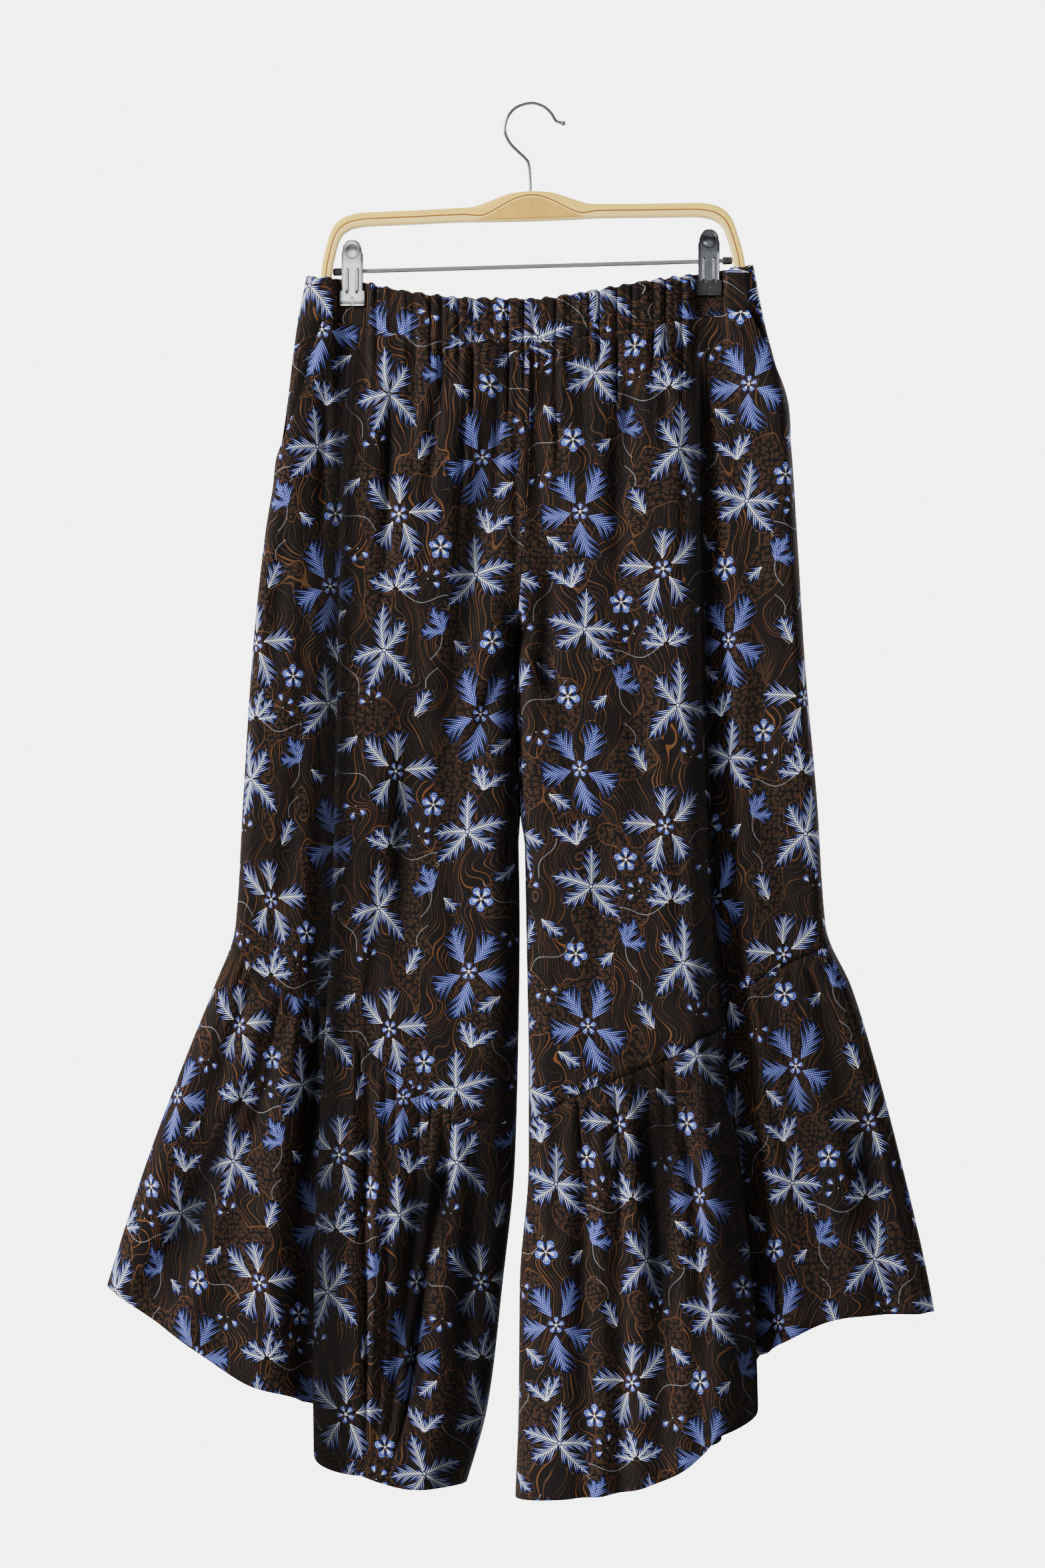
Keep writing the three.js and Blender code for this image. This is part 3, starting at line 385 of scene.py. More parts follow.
def leg_point(side, zone, t, z, extra=0.0):
    """Points of the leg as x, y, z arrays in millimetres."""
    inward = side["inward"]
    zone, t, z = np.broadcast_arrays(zone, t, z)
    outer, _, depth, turn = [read(z) for read in side["section"]]
    fold_edge, half, lap, drop, rise = side["fold"](z)
    cut = side["cut_out"](z)
    p_start = rounding_at(cut, POCKET_TURN)
    p_run = np.maximum(1.3, p_start + 0.5)
    p_end = side["crotch"](z)
    edge = side["inner_edge"](z)
    extreme = edge + inward * turn * (1 - np.cos(p_end * np.pi / 2))
    outer_run = outer + inward * rounding(p_run, POCKET_TURN)[0]
    inner_run = extreme - inward * rounding(np.full(z.shape, 1.5), turn)[0]
    start = np.maximum(inward * outer_run + 2, inward * fold_edge - half) * inward
    end = fold_edge + inward * half

    across, out0, turned0 = rounding(mix(p_start, p_run, t), POCKET_TURN)
    x0 = outer + inward * across
    x1 = mix(outer_run, start, t)
    x2 = mix(start, end, t)
    x3 = mix(end, inner_run, t)
    across, out4, _ = rounding(mix(1.5, p_end, t), turn)
    x4 = extreme - inward * across
    x = np.select([zone == 0, zone == 1, zone == 2, zone == 3], [x0, x1, x2, x3], x4)
    out = np.select([zone == 0, zone == 4], [out0, out4], 1.0)
    turned = np.where(zone == 0, turned0, 0)
    bend = np.where(zone == 2, -lap * np.sin(np.pi * (2 * t - 1)) * inward, 0)

    valley = (1.0 if side["front"] else 0.6) * mix(2.5, VALLEY, smooth(-z, 200, 650))
    level_outer = depth - drop * hump(start - x, 55) - valley * hump(start - x, 13)
    stair = (smooth(t, 0.17, 0.47) + smooth(t, 0.53, 0.83)) / 2
    level_fold = depth + mix(-drop - valley, rise, stair)
    level_inner = depth + rise * hump(x - end, 60)
    level = np.select([zone < 2, zone == 2], [level_outer, level_fold], level_inner)
    level = level - TROUGH_DEPTH * creases(TROUGHS[side["face"]], x, z)
    lower = smooth(-z, 780, 1000)
    sloping = 1 - smooth(inward * (x - outer), 0, mix(85, 170, lower))
    level = level - mix(5, 11, lower) * sloping * smooth(-z, 350, 480)
    if side["fine"]:
        level = level - CREASE_DEPTH * creases(FINE[side["face"]], x, z)

    seam = waist_seam(x)
    below = np.clip((seam - z) / 110, 0, 1)
    level = mix(waist_level(x, seam), level, smooth(below, 0, 1))
    held = 1 - pinch(x, seam)
    share = (x - outer) / (edge - outer)
    fading = np.sin(np.pi * np.clip(below * 1.6, 0, 1)) * held
    level = level + 2.2 * fading * gather(GATHERS_PER_LEG * share, side["seed"])
    if side["fine"]:
        reach = 60 + 35 * np.sin(0.23 * x + 2 * side["seed"])
        inside = smooth(150 - np.abs(x), 0, 16)
        run_on = 1.5 + 1.6 * smooth(seam - z, 0, 12)
        level = level + run_on * inside * waist_gather(x, side["face"]) * hump(seam - z, reach)
        level = level - SEAM_DIP * hump(seam - z, DIP_REACH) * held
    level = level + extra

    lapped = np.clip((side["pocket_end"] - SHORT_OF_POCKET - z) / -30, 0, 1)
    over = 1 - smooth(inward * (x - outer) - cut, UNDERLAP, UNDERLAP + 25)
    lift = LAP * lapped * over if side["front"] else np.zeros(z.shape)
    y = side["sign"] * np.maximum(SEAM / 2, (level + lift) * out)
    x = x + bend - inward * lift * turned
    return x, y, np.minimum(z, waist_seam(outer))


def edge_height(side, zone, t, line):
    """Height of a seam or hem line where each column of the panel meets it."""
    z = np.full(np.shape(t), float(line(side["fold"](-900.0)[0])))
    for _ in range(12):
        x = leg_point(side, zone, t, z)[0]
        lap = side["fold"](z)[2]
        shift = np.where(zone == 2, -lap * np.sin(np.pi * (2 * t - 1)) * side["inward"], 0)
        z = line(x - shift)
    return z


def columns_of(cells):
    """Zone and place of every column across a panel."""
    zone, t = [], []
    for index, count in enumerate(cells):
        zone += [index] * count
        t += [i / count for i in range(count)]
    return np.array(zone + [len(cells) - 1]), np.array(t + [1.0])


# %% [markdown]
# ## From a grid of points to a cloth shell
# A grid of points becomes a sheet of quads, and Solidify gives it the cotton's thickness.
# The sheet also gets a UV map in metres of cloth, so the print keeps its real size and
# follows every fold. Each panel starts the print at another place, as it was cut from
# another part of the cloth, and so the print breaks at each seam.
# Each sheet's points also keep a painted shade, dark in folds and beside lapped edges, that its material
# reads.

# %% Shell builder


def distance_along(points, axis):
    """Length run so far along one axis of a grid of points."""
    steps = np.linalg.norm(np.diff(points, axis=axis), axis=2)
    total = np.cumsum(steps, axis=axis)
    pad = [(0, 0), (0, 0)]
    pad[axis] = (1, 0)
    return np.pad(total, pad)


def grid_mesh(name, points, uv, flip):
    """A sheet of quads in metres. flip turns its faces over."""
    rows, cols = points.shape[:2]
    index = np.arange(rows * cols).reshape(rows, cols)
    quads = np.stack([index[:-1, :-1], index[:-1, 1:], index[1:, 1:], index[1:, :-1]], axis=-1)
    quads = quads.reshape(-1, 4)
    if flip:
        quads = quads[:, ::-1]
    mesh = bpy.data.meshes.new(name)
    mesh.from_pydata((points.reshape(-1, 3) / 1000).tolist(), [], quads.tolist())
    layer = mesh.uv_layers.new(name="cloth")
    corner = np.empty(len(mesh.loops), np.int32)
    mesh.loops.foreach_get("vertex_index", corner)
    layer.data.foreach_set("uv", (uv.reshape(-1, 2)[corner] / 1000).astype(np.float32).ravel())
    mesh.shade_smooth()
    return add_object(name, mesh)


def hollows(points, sign, edges):
    """Painted shade, 0 on open cloth to 1 deep in a fold, from how far each point lies behind its row."""
    out = points[..., 1] * sign
    run = distance_along(points, 1)
    cols = out.shape[1]
    shade = np.zeros_like(out)
    for reach, low, high in ((7.0, 0.2, 2.2), (16.0, 0.8, 5.5), (36.0, 2.5, 13.0)):
        total = np.zeros_like(out)
        weight = np.zeros_like(out)
        for shift in range(-36, 37):
            at = np.clip(np.arange(cols) + shift, 0, cols - 1)
            near = hump(run[:, at] - run, reach)
            total += near * out[:, at]
            weight += near
        shade = np.maximum(shade, smooth(total / weight - out, low, high))
    to_end = run[:, -1:] - run
    start_kept = mix(edges[0], 1, smooth(run, 12, 34))
    end_kept = mix(edges[1], 1, smooth(to_end, 12, 34))
    return shade * start_kept * end_kept


def fold_shade(title, points):
    """Painted shade, 0 to 1, along the folds and creases listed in the tables so that each looks as deep as
    it is, beside the pocket edges, on the left leg's inner turn and on the right leg's outer part.
    """
    x, z = points[..., 0], points[..., 2]
    part, face = title.split("_")[0], title.split("_")[-1]
    # A pocket facing gets painted shade where it goes under the front panel's edge.
    if part == "pocket":
        to_edge = distance_along(points, 1)
        return 0.95 * (1 - smooth(to_edge[:, -1:] - UNDERLAP - to_edge, 3, 15))
    if part not in LONG_FOLDS:
        return np.zeros(x.shape)
    side = leg_side(part, face)
    inward = side["inward"]
    # Painted shade in the listed troughs and fine creases.
    dips = creases(TROUGHS[face], x, z) / 6 + creases(FINE[face], x, z) / 4.5
    shade = smooth(dips, 0.12, 1.0)
    edge, half = side["fold"](z)[:2]
    if part == "left":
        centre = edge - inward * 0.35 * half
        # Painted shade on the left leg's inner turn, which faces away from the key lamp.
        inner = 12 + 18 * smooth(-z, 780, 950)
        to_inner = inward * (side["inner_edge"](z) - x)
        inner_shade = (1 - smooth(to_inner, inner, inner + 18)) * smooth(-z, 380, 470)
        shade = np.maximum(shade, 0.9 * inner_shade)
    else:
        centre = edge + inward * (5 - 8 * smooth(-z, 850, 1000))
        # Painted shade on the right leg's outer part, which faces away from the key lamp.
        painted_shade_facing_away = 0.34 * smooth(inward * (edge - x), -10, 25) * smooth(-z, 520, 800)
        shade = np.maximum(shade, painted_shade_facing_away)
    # Painted shade along each long fold.
    band = 1 - smooth(np.abs(x - centre), 0.4 * half + 2, 1.25 * half + 9)
    return np.maximum(shade, 0.97 * band * smooth(-z, 185, 260))


def write_painted_shade(thing, shade):
    """Keeps a painted shade for each point where materials can read it."""
    layer = thing.data.attributes.new("hollow", "FLOAT", "POINT")
    layer.data.foreach_set("value", shade.astype(np.float32).ravel())


def shade_hollows(thing, title, points, sign):
    # Painted shade of the cloth: in hollows behind each row and along the folds, weaker at some edges.
    edges = SHADED_EDGES.get(title.split("_")[0], (0, 0))
    shade = np.maximum(hollows(points, sign, edges), fold_shade(title, points))
    write_painted_shade(thing, HOLLOW_SHADE * shade)


def thicken(thing, thickness):
    solid = thing.modifiers.new("cloth thickness", "SOLIDIFY")
    solid.thickness = thickness / 1000
    solid.offset = 0
    solid.use_even_offset = False


def faces_out(points, sign):
    """True if the sheet's quads face away from the garment's middle plane as they are."""
    across = points[1:, 1:] - points[1:, :-1]
    down = points[1:, 1:] - points[:-1, 1:]
    return float(np.cross(across, down)[..., 1].sum()) * sign < 0


shells = []
# Strength of the painted shade on the cloth, and how much of it is kept at each leg's outseam and inner
# edge.
HOLLOW_SHADE = 0.88
SHADED_EDGES = {"left": (0, 1), "right": (0.25, 0.1)}      # at the outseam and at the inner edge
CUT_FROM = {                       # where each panel starts on the printed cloth, in mm
    "left_leg_front": (40, 30), "right_leg_front": (214, 96), "left_leg_back": (118, 150),
    "right_leg_back": (70, 10), "left_flounce_front": (96, 148), "right_flounce_front": (150, 60),
    "left_flounce_back": (20, 92), "right_flounce_back": (190, 30),
    "waistband_front": (60, 128), "waistband_back": (130, 40),
    "pocket_facing_left": (22, 70), "pocket_facing_right": (122, 12),
}


def cloth_uv(name, points, reference):
    """Millimetres of cloth across from a reference column, and down from the top."""
    across = distance_along(points, 1)
    across = across - across[:, reference][:, None]
    down = -points[..., 2]
    shift = CUT_FROM[name]
    return np.stack([across + shift[0], -(down + shift[1])], axis=-1)


# %% [markdown]
# ## Leg panels
# Each leg is two panels from the waist seam to the slanting flounce seam. They are
# lofted from the leg surface, because their form follows the tables exactly, and a
# simulation would lose the folds that the picture shows.

# %% Leg panels
SEAM_TUCK = 0.2
LEG_CELLS = (12, 24, 44, 84, 14)
LEG_ROWS = 132


def leg_panel(name, face):
    side = leg_side(name, face)
    seam_line = curve(FLOUNCE_SEAM[name], 0, 1)
    zone, t = columns_of(LEG_CELLS)
    top = edge_height(side, zone, t, waist_seam)
    bottom = edge_height(side, zone, t, seam_line) - SEAM_TUCK
    v = np.linspace(0, 1, LEG_ROWS + 1) ** 1.25
    z = mix(top[None, :], bottom[None, :], v[:, None])
    points = np.stack(leg_point(side, zone[None, :], t[None, :], z), axis=-1)
    title = f"{name}_leg_{face}"
    middle = sum(LEG_CELLS[:3])
    uv = cloth_uv(title, points, middle)
    return title, points, uv, side["sign"]


def add_shell(title, points, uv, sign, thickness=CLOTH):
    thing = grid_mesh("cloth_" + title, points, uv, not faces_out(points, sign))
    shade_hollows(thing, title, points, sign)
    thicken(thing, thickness)
    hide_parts(title)
    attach(thing, "root")
    across = distance_along(points, 1)[:, -1]
    down = distance_along(points, 0)[-1, :]
    middle = (points[1:, 1:] + points[:-1, :-1]) / 2
    a = points[1:, 1:] - points[:-1, :-1]
    b = points[1:, :-1] - points[:-1, 1:]
    area = float(np.linalg.norm(np.cross(a, b), axis=2).sum() / 2)
    held = "gathered" if "band" in title or "flounce" in title else "hung"
    print(title, "width", round(across.min()), "to", round(across.max()),
          "length", round(down.min()), "to", round(down.max()), "area cm2", round(area / 100))
    shells.append(thing)


for name in LEG_NAMES:
    for face in FACES:
        add_shell(*leg_panel(name, face))

# %% [markdown]
# ## Flounces
# A flounce is a strip longer than the hem it is sewn to, drawn up into small gathers at
# the seam that open out towards its own hem. The gathers are strong and close just under
# the seam, then merge into a few soft flutes.

# %% Flounce panels
FLOUNCE_CELLS = (12, 32, 44, 60, 14)
FLOUNCE_ROWS = 92
FLUTES = 11
FLUTE_SHARES = (4, 10, 10, 16, 4)  # how the flutes are shared out over the five zones


def calmed(side, zone, t, z, turns_there):
    """Share of the flutes that is left where the inner run gets too narrow for them."""
    x = leg_point(side, zone[None, :], t[None, :], z)[0]
    first, last = np.cumsum(FLOUNCE_CELLS)[2:4]
    room = np.abs(x[:, last] - x[:, first]) / turns_there
    near = np.select([zone == 3, zone == 2, zone == 4],
                     [1.0, smooth(t, 0.5, 1), 1 - smooth(t, 0, 0.5)], 0.0)
    return mix(1, smooth(room, 5, 16)[:, None], near[None, :])


def flounce_panel(name, face):
    side = leg_side(name, face)
    zone, t = columns_of(FLOUNCE_CELLS)
    top = edge_height(side, zone, t, curve(FLOUNCE_SEAM[name], 0, 1)) - SEAM_TUCK
    bottom = edge_height(side, zone, t, curve(HEM[name], 0, 1))
    starts = np.cumsum((0,) + FLUTE_SHARES)
    turns = FLUTES * (starts[zone] + t * np.array(FLUTE_SHARES)[zone]) / starts[-1]
    v = np.linspace(0, 1, FLOUNCE_ROWS + 1)[:, None] ** 1.35
    z = mix(top[None, :], bottom[None, :], v)
    calm = calmed(side, zone, t, z, FLUTES * FLUTE_SHARES[3] / starts[-1])
    size = 3.2 * smooth(v, 0, 0.12) + 1.2 * smooth(v, 0.1, 1)
    wave = size * calm * gather(turns, side["seed"] + 0.8)[None, :]
    small = (0.5 + 1.9 * smooth(v, 0, 0.04)) * hump(v, 0.22)
    wave = wave + small * pleat(2.3 * turns, side["seed"] + 2.6)[None, :]
    wave = wave + 0.5 * hump(v, 0.10) * gather(5.3 * turns, side["seed"])[None, :]
    wave = wave - SEAM_DIP * hump(v, 0.008)
    points = np.stack(leg_point(side, zone[None, :], t[None, :], z, wave), axis=-1)
    title = f"{name}_flounce_{face}"
    return title, points, cloth_uv(title, points, sum(FLOUNCE_CELLS[:3])), side["sign"]


for name in LEG_NAMES:
    for face in FACES:
        add_shell(*flounce_panel(name, face))

# %% [markdown]
# ## Pocket facings
# Behind each slant pocket edge lies a strip of the same cloth that shows between the
# edge and the outseam. It is made from the leg surface without the pocket's cut, moved
# in behind the front panel.

# %% Pocket facings
FACING_ROWS = 40
FACING_CELLS = 12                  # across the turn at the outseam, and as many beyond it


def pocket_facing(name):
    front = leg_side(name, "front")
    side = {**front, "cut_out": lambda z: np.zeros(np.shape(z)), "pocket_end": np.inf, "fine": False}
    end = front["pocket_end"] + SHORT_OF_POCKET
    start = float(waist_seam(front["section"][0](-200.0))) - SEAM / 2
    rows = []
    for r in range(FACING_ROWS + 1):
        v = r / FACING_ROWS
        z = mix(start, end, v)
        tuck = LAP * float(smooth(v, 0.4, 1))
        shown = float(front["cut_out"](z)) + UNDERLAP
        outer = float(side["section"][0](z))
        turn_end = side["inward"] * (float(leg_point(side, 1, 0.0, z)[0]) - outer)
        run_end = side["inward"] * (float(leg_point(side, 2, 0.0, z)[0]) - outer)
        reach = np.clip((shown - turn_end) / (run_end - turn_end), 0.05, 0.95)
        cells = np.arange(FACING_CELLS + 1) / FACING_CELLS
        zone = np.repeat([0, 1], [FACING_CELLS, FACING_CELLS + 1])
        t = np.concatenate([cells[:-1], reach * cells])
        x, y, z_out = leg_point(side, zone, t, np.full(len(zone), z))
        turned = rounding(np.where(zone == 0, 1.3 * t, 1.0), POCKET_TURN)[2]
        x = x + side["inward"] * tuck * turned
        y = np.minimum(-SEAM / 2, y + tuck * (1 - turned))
        z_out = np.minimum(z, waist_seam(x) - SEAM / 2)
        rows.append(np.stack([x, y, z_out], axis=-1))
    points = np.array(rows)
    title = f"pocket_facing_{name}"
    return title, points, cloth_uv(title, points, 0), -1


for name in LEG_NAMES:
    add_shell(*pocket_facing(name))

# %% [markdown]
# ## Waistband
# The waistband is one strip folded over elastic. Between the clips it is drawn up into
# about forty narrow gathers of uneven size, and its folded upper edge is finely ruffled.
# In the clips' jaws it is pressed flat.

# %% Waistband
BAND_ENDS = (-201.8, 199.4)
BAND_RUN = (-191, 189)             # beyond these the band turns to its other side
BAND_ROWS = [0, 0.012, 0.03, 0.055, 0.09, *np.linspace(0.14, 0.9, 12), 0.94, 0.97, 1]
BAND_CLOTH = 1.4
BAND_FULLNESS = 1.05               # of the print, which the smallest gathers take up


def waistband(face):
    sign = FACES[face]
    left, right = BAND_ENDS
    first, last = BAND_RUN
    p = np.linspace(0, 1, 13)
    across, out, _ = rounding(p, first - left)
    back_across, back_out, _ = rounding(p[::-1], right - last)
    run = np.linspace(first, last, 421)[1:-1]
    x = np.concatenate([left + across, run, right - back_across])
    out = np.concatenate([out, np.ones(len(run)), back_out])
    turns = band_turns(x)
    frill = 1.1 * gather(turns, BAND_SEED[face]) + 0.35 * gather(2.2 * turns, 1.7)
    gathers = 2.4 * mix(0.45, 1, smooth(150 - np.abs(x), 0, 12)) * waist_gather(x, face)
    rows = []
    for v in BAND_ROWS:
        z = waist_edge(x) - v * BAND_HEIGHT
        spread = x + 8.0 * v * np.sign(x) * smooth(np.abs(x), 178, 202)
        free = 1 - pinch(x, z)
        level = waist_level(x, z) * (1 - 0.5 * hump(v, 0.035))
        level = level + gathers * free * smooth(free, 0, 1) * (1 - 0.35 * v)
        level = level - SEAM_DIP * free * hump((1 - v) * BAND_HEIGHT, DIP_REACH)
        level = np.where(free > 0.2, level, waist_level(x, z))
        y = sign * np.maximum(SEAM / 2, level * out)
        rows.append(np.stack([spread, y, z + free * out * frill * hump(v, 0.12)], axis=-1))
    points = np.array(rows)
    title = f"waistband_{face}"
    uv = cloth_uv(title, points, 0)
    uv[..., 0] = uv[0, 0, 0] + (uv[..., 0] - uv[0, 0, 0]) * BAND_FULLNESS
    return title, points, uv, sign


for face in FACES:
    add_shell(*waistband(face), thickness=BAND_CLOTH)

# %% [markdown]
# ## Drawing with shader nodes
# Batik is drawn in wax with a fine spout and then dyed, so its motifs are strokes and
# dots. There is no image here: each motif is drawn by small sums on the cloth's own
# coordinates. These helpers make one node each and return its output, so that the sums
# can be written almost as they would be on paper.

# %% Node helpers


class Amount:
    """A node's output that reckons like a number. | takes the larger and & the smaller."""

    def __init__(self, draw, socket):
        self.draw = draw
        self.socket = socket

    def of(self, operation, *others):
        return self.draw.sum(operation, self, *others)

    def __neg__(self):
        return self.of("MULTIPLY", -1.0)

    def __abs__(self):
        return self.of("ABSOLUTE")

    def __rsub__(self, other):
        return self.draw.sum("SUBTRACT", other, self)


def operator(operation):
    return lambda self, other: self.of(operation, other)


for sign, operation in {
    "add": "ADD", "sub": "SUBTRACT", "mul": "MULTIPLY", "truediv": "DIVIDE", "pow": "POWER",
    "lt": "LESS_THAN", "gt": "GREATER_THAN", "or": "MAXIMUM", "and": "MINIMUM",
}.items():
    setattr(Amount, f"__{sign}__", operator(operation))


class Drawing:
    """Adds shader nodes to one node tree."""

    def __init__(self, tree):
        self.tree = tree

    def node(self, kind, **settings):
        made = self.tree.nodes.new(kind)
        for name, value in settings.items():
            setattr(made, name, value)
        return made

    def feed(self, socket, value):
        if isinstance(value, Amount):
            self.tree.links.new(value.socket, socket)
        else:
            socket.default_value = value

    def made_by(self, node, values, out=0):
        """Feeds a node's inputs in order and returns one of its outputs."""
        for socket, value in zip(node.inputs, values):
            if value is not None:
                self.feed(socket, value)
        return Amount(self, node.outputs[out])

    def sum(self, operation, *values):
        return self.made_by(self.node("ShaderNodeMath", operation=operation), values)

    def vector(self, operation, *values, out=0):
        return self.made_by(self.node("ShaderNodeVectorMath", operation=operation), values, out)

    def in_millimetres(self, kind, out, **settings):
        """Coordinates in metres from a node, made millimetres."""
        place = Amount(self, self.node(kind, **settings).outputs[out])
        return self.vector("SCALE", place, None, None, 1000.0)

    def split(self, vector):
        made = self.node("ShaderNodeSeparateXYZ")
        self.feed(made.inputs[0], vector)
        return [Amount(self, socket) for socket in made.outputs]

    def join(self, x, y, z=0.0):
        return self.made_by(self.node("ShaderNodeCombineXYZ"), (x, y, z))

    def choose(self, share, first, second, kind="FLOAT"):
        """first where share is 0, second where it is 1."""
        made = self.node("ShaderNodeMix", data_type=kind)
        start = {"FLOAT": 2, "VECTOR": 4, "RGBA": 6}[kind]
        for place, value in ((0, share), (start, first), (start + 1, second)):
            self.feed(made.inputs[place], value)
        return Amount(self, made.outputs[start // 2 - 1])

    def colour(self, share, first, second):
        return self.choose(share, first, second, "RGBA")

    def ramp(self, value, low, high):
        """0 below low, 1 above high and smooth between."""
        made = self.node("ShaderNodeMapRange", interpolation_type="SMOOTHSTEP")
        return self.made_by(made, (value, low, high, 0.0, 1.0))

    def line(self, distance, half):
        """1 where distance from the line is less than half."""
        return abs(distance) < half

    def noise(self, vector, scale, detail=2.0, rough=0.5, kind="2D"):
        made = self.node("ShaderNodeTexNoise", noise_dimensions=kind)
        for name, value in (("Vector", vector), ("Scale", scale), ("Detail", detail), ("Roughness", rough)):
            self.feed(made.inputs[name], value)
        return Amount(self, made.outputs[0])

    def hollow(self):
        return Amount(self, self.node("ShaderNodeAttribute", attribute_name="hollow").outputs["Fac"])


def new_group(name, inputs, outputs):
    """A node group with named inputs and outputs, and a Drawing for it."""
    group = bpy.data.node_groups.new(name, "ShaderNodeTree")
    for titles, way in ((inputs, "INPUT"), (outputs, "OUTPUT")):
        for title, kind in titles.items():
            group.interface.new_socket(title, in_out=way, socket_type="NodeSocket" + kind)
    draw = Drawing(group)
    entry = draw.node("NodeGroupInput")
    given = {title: Amount(draw, entry.outputs[title]) for title in inputs}
    return group, draw, given, draw.node("NodeGroupOutput").inputs


def use(draw, group, **values):
    """Adds a group to a tree and returns its outputs in order."""
    made = draw.node("ShaderNodeGroup")
    made.node_tree = group
    for name, value in values.items():
        draw.feed(made.inputs[name], value)
    return [Amount(draw, socket) for socket in made.outputs]


def hand_over(draw, result, **values):
    for name, value in values.items():
        draw.feed(result[name], value)


# %% [markdown]
# ## The repeat of the print
# The cloth repeats every 160 mm across and 230 mm down, and each next column starts half
# a repeat lower, which printers call a half drop. The group below finds, for any place on
# the cloth, where it lies as seen from the nearest copy of a motif.

# %% Place a motif in the repeat
REPEAT_ACROSS = 160.0
REPEAT_DOWN = 230.0

place_motif, draw, given, result = new_group(
    "place motif",
    {"Cloth": "Vector", "At": "Vector", "Turn": "Float", "Reach": "Float"},
    {"Local": "Vector", "Nearness": "Float"},
)
x, y, _ = draw.split(draw.vector("SUBTRACT", given["Cloth"], given["At"]))
column = (x / REPEAT_ACROSS).of("ROUND")
dropped = y - column.of("FLOORED_MODULO", 2.0) * (REPEAT_DOWN / 2)
down = dropped.of("WRAP", REPEAT_DOWN / 2, -REPEAT_DOWN / 2)
spin = draw.node("ShaderNodeVectorRotate", rotation_type="Z_AXIS")
hand_over(draw, spin.inputs, Vector=draw.join(x - column * REPEAT_ACROSS, down), Angle=given["Turn"])
local = Amount(draw, spin.outputs[0])
hand_over(draw, result, Local=local, Nearness=draw.vector("LENGTH", local, out=1) / given["Reach"])
print(place_motif.name, len(place_motif.nodes), "nodes")


def in_fan(draw, given, length=None):
    """Which leaf of a fan a place is on, and how far it lies out, along and beside it."""
    step, most, start = draw.split(given["Fan"])
    x, y, _ = draw.split(given["Local"])
    out = draw.vector("LENGTH", given["Local"], out=1)
    angle = y.of("ARCTAN2", x)
    number = (angle / step).of("ROUND") & most | -most
    off = angle - number * step
    uneven = None
    if length:
        uneven = (number * 2.3 + length).of("SINE")
        off = off + uneven * 0.09
    return number, uneven, out, out * off.of("COSINE") - start, out * off.of("SINE")


# %% [markdown]
# ## Feathered leaves
# All the larger motifs are fans of the same leaf: a midrib with slanting strokes that
# taper to the leaf's ragged edge, white inside and blue at the tips and between them.
# Five leaves all round make a star, three make a spray and one is a single leaf. Some are
# drawn as rows of dots. One rule with a few numbers draws them all.

# %% Feathered leaf
PITCH = 2.9        # mm between strokes along the midrib
LOBE = 8.7         # mm between the ragged edge's points
LEAN = 1.45        # mm that a stroke runs forward for each mm outward
PARTS = {"White": "Float", "Blue": "Float", "Halo": "Float", "Ground": "Float"}

leaf_motif, draw, given, result = new_group(
    "feathered leaves", {"Local": "Vector", "Fan": "Vector", "Leaf": "Vector"}, PARTS)
length, width, dotted = draw.split(given["Leaf"])
number, uneven, _, s, t = in_fan(draw, given, length)
long = length * (uneven * 0.14 + 1.0)
offset = t + s * s * (uneven * 0.0075)
beside = abs(offset)
upper = offset > 0.0
q = s - beside * LEAN + upper * (PITCH * 0.45)
turn = q / PITCH
root = (turn.of("FLOOR") + 0.5) * PITCH
open_centre = draw.split(given["Fan"])[2] > 5.0
base = draw.choose(open_centre, 0.38, 0.27)


def outline(at, long):
    """How far out the strokes reach that leave the midrib at this place."""
    share = at / long & 1.0 | 0.0
    return share ** base * (1.0 - share) ** 1.05 * (width * 2.2)


chance = (root * (2 * math.pi / LOBE) + (number * 2.1 + upper * 1.9)).of("SINE")
reach = outline(root, long) * (chance * 0.42 + 0.86) + 0.3
away = abs(turn.of("FRACT") - 0.5) * 2.0
along = beside / reach
stroke = (1.0 - along | 0.0) ** 0.7 * draw.choose(dotted, 0.42, 0.36)
on_leaf = (q > 0.0) * (q < long)
beads = draw.line((beside / 1.2).of("FRACT") - 0.5, 0.27)
strokes = (away < stroke) * draw.choose(dotted, 1.0, beads) * on_leaf
rib = (beside < (1.0 - s / long) * 0.62 + 0.14) * draw.choose(dotted, 1.0, 0.0)
rib = rib * (s < long * 1.08) * (s > 0.0)
flame = (1.0 - beside / (reach * 1.14 + 0.5) | 0.0) ** 0.6 * draw.choose(dotted, 0.95, 0.90)
outer = along > draw.choose(dotted, 0.36, -1.0)
rim = beside - (outline(q, long + 1.5) * 1.2 + 1.3)
near_leaf = (s > -2.0) * (q < long + 1.0)
hand_over(draw, result, White=strokes | rib, Blue=(away < flame) * outer * on_leaf,
          Halo=draw.line(rim, 0.28) * near_leaf, Ground=(rim < 0.0) * near_leaf)
print(leaf_motif.name, len(leaf_motif.nodes), "nodes")

# %% [markdown]
# ## Small petals
# Small flowers, the rosettes in the larger stars and the groups of little bells are fans
# of one round petal, blue with white dots and a white wedge, about a white centre.

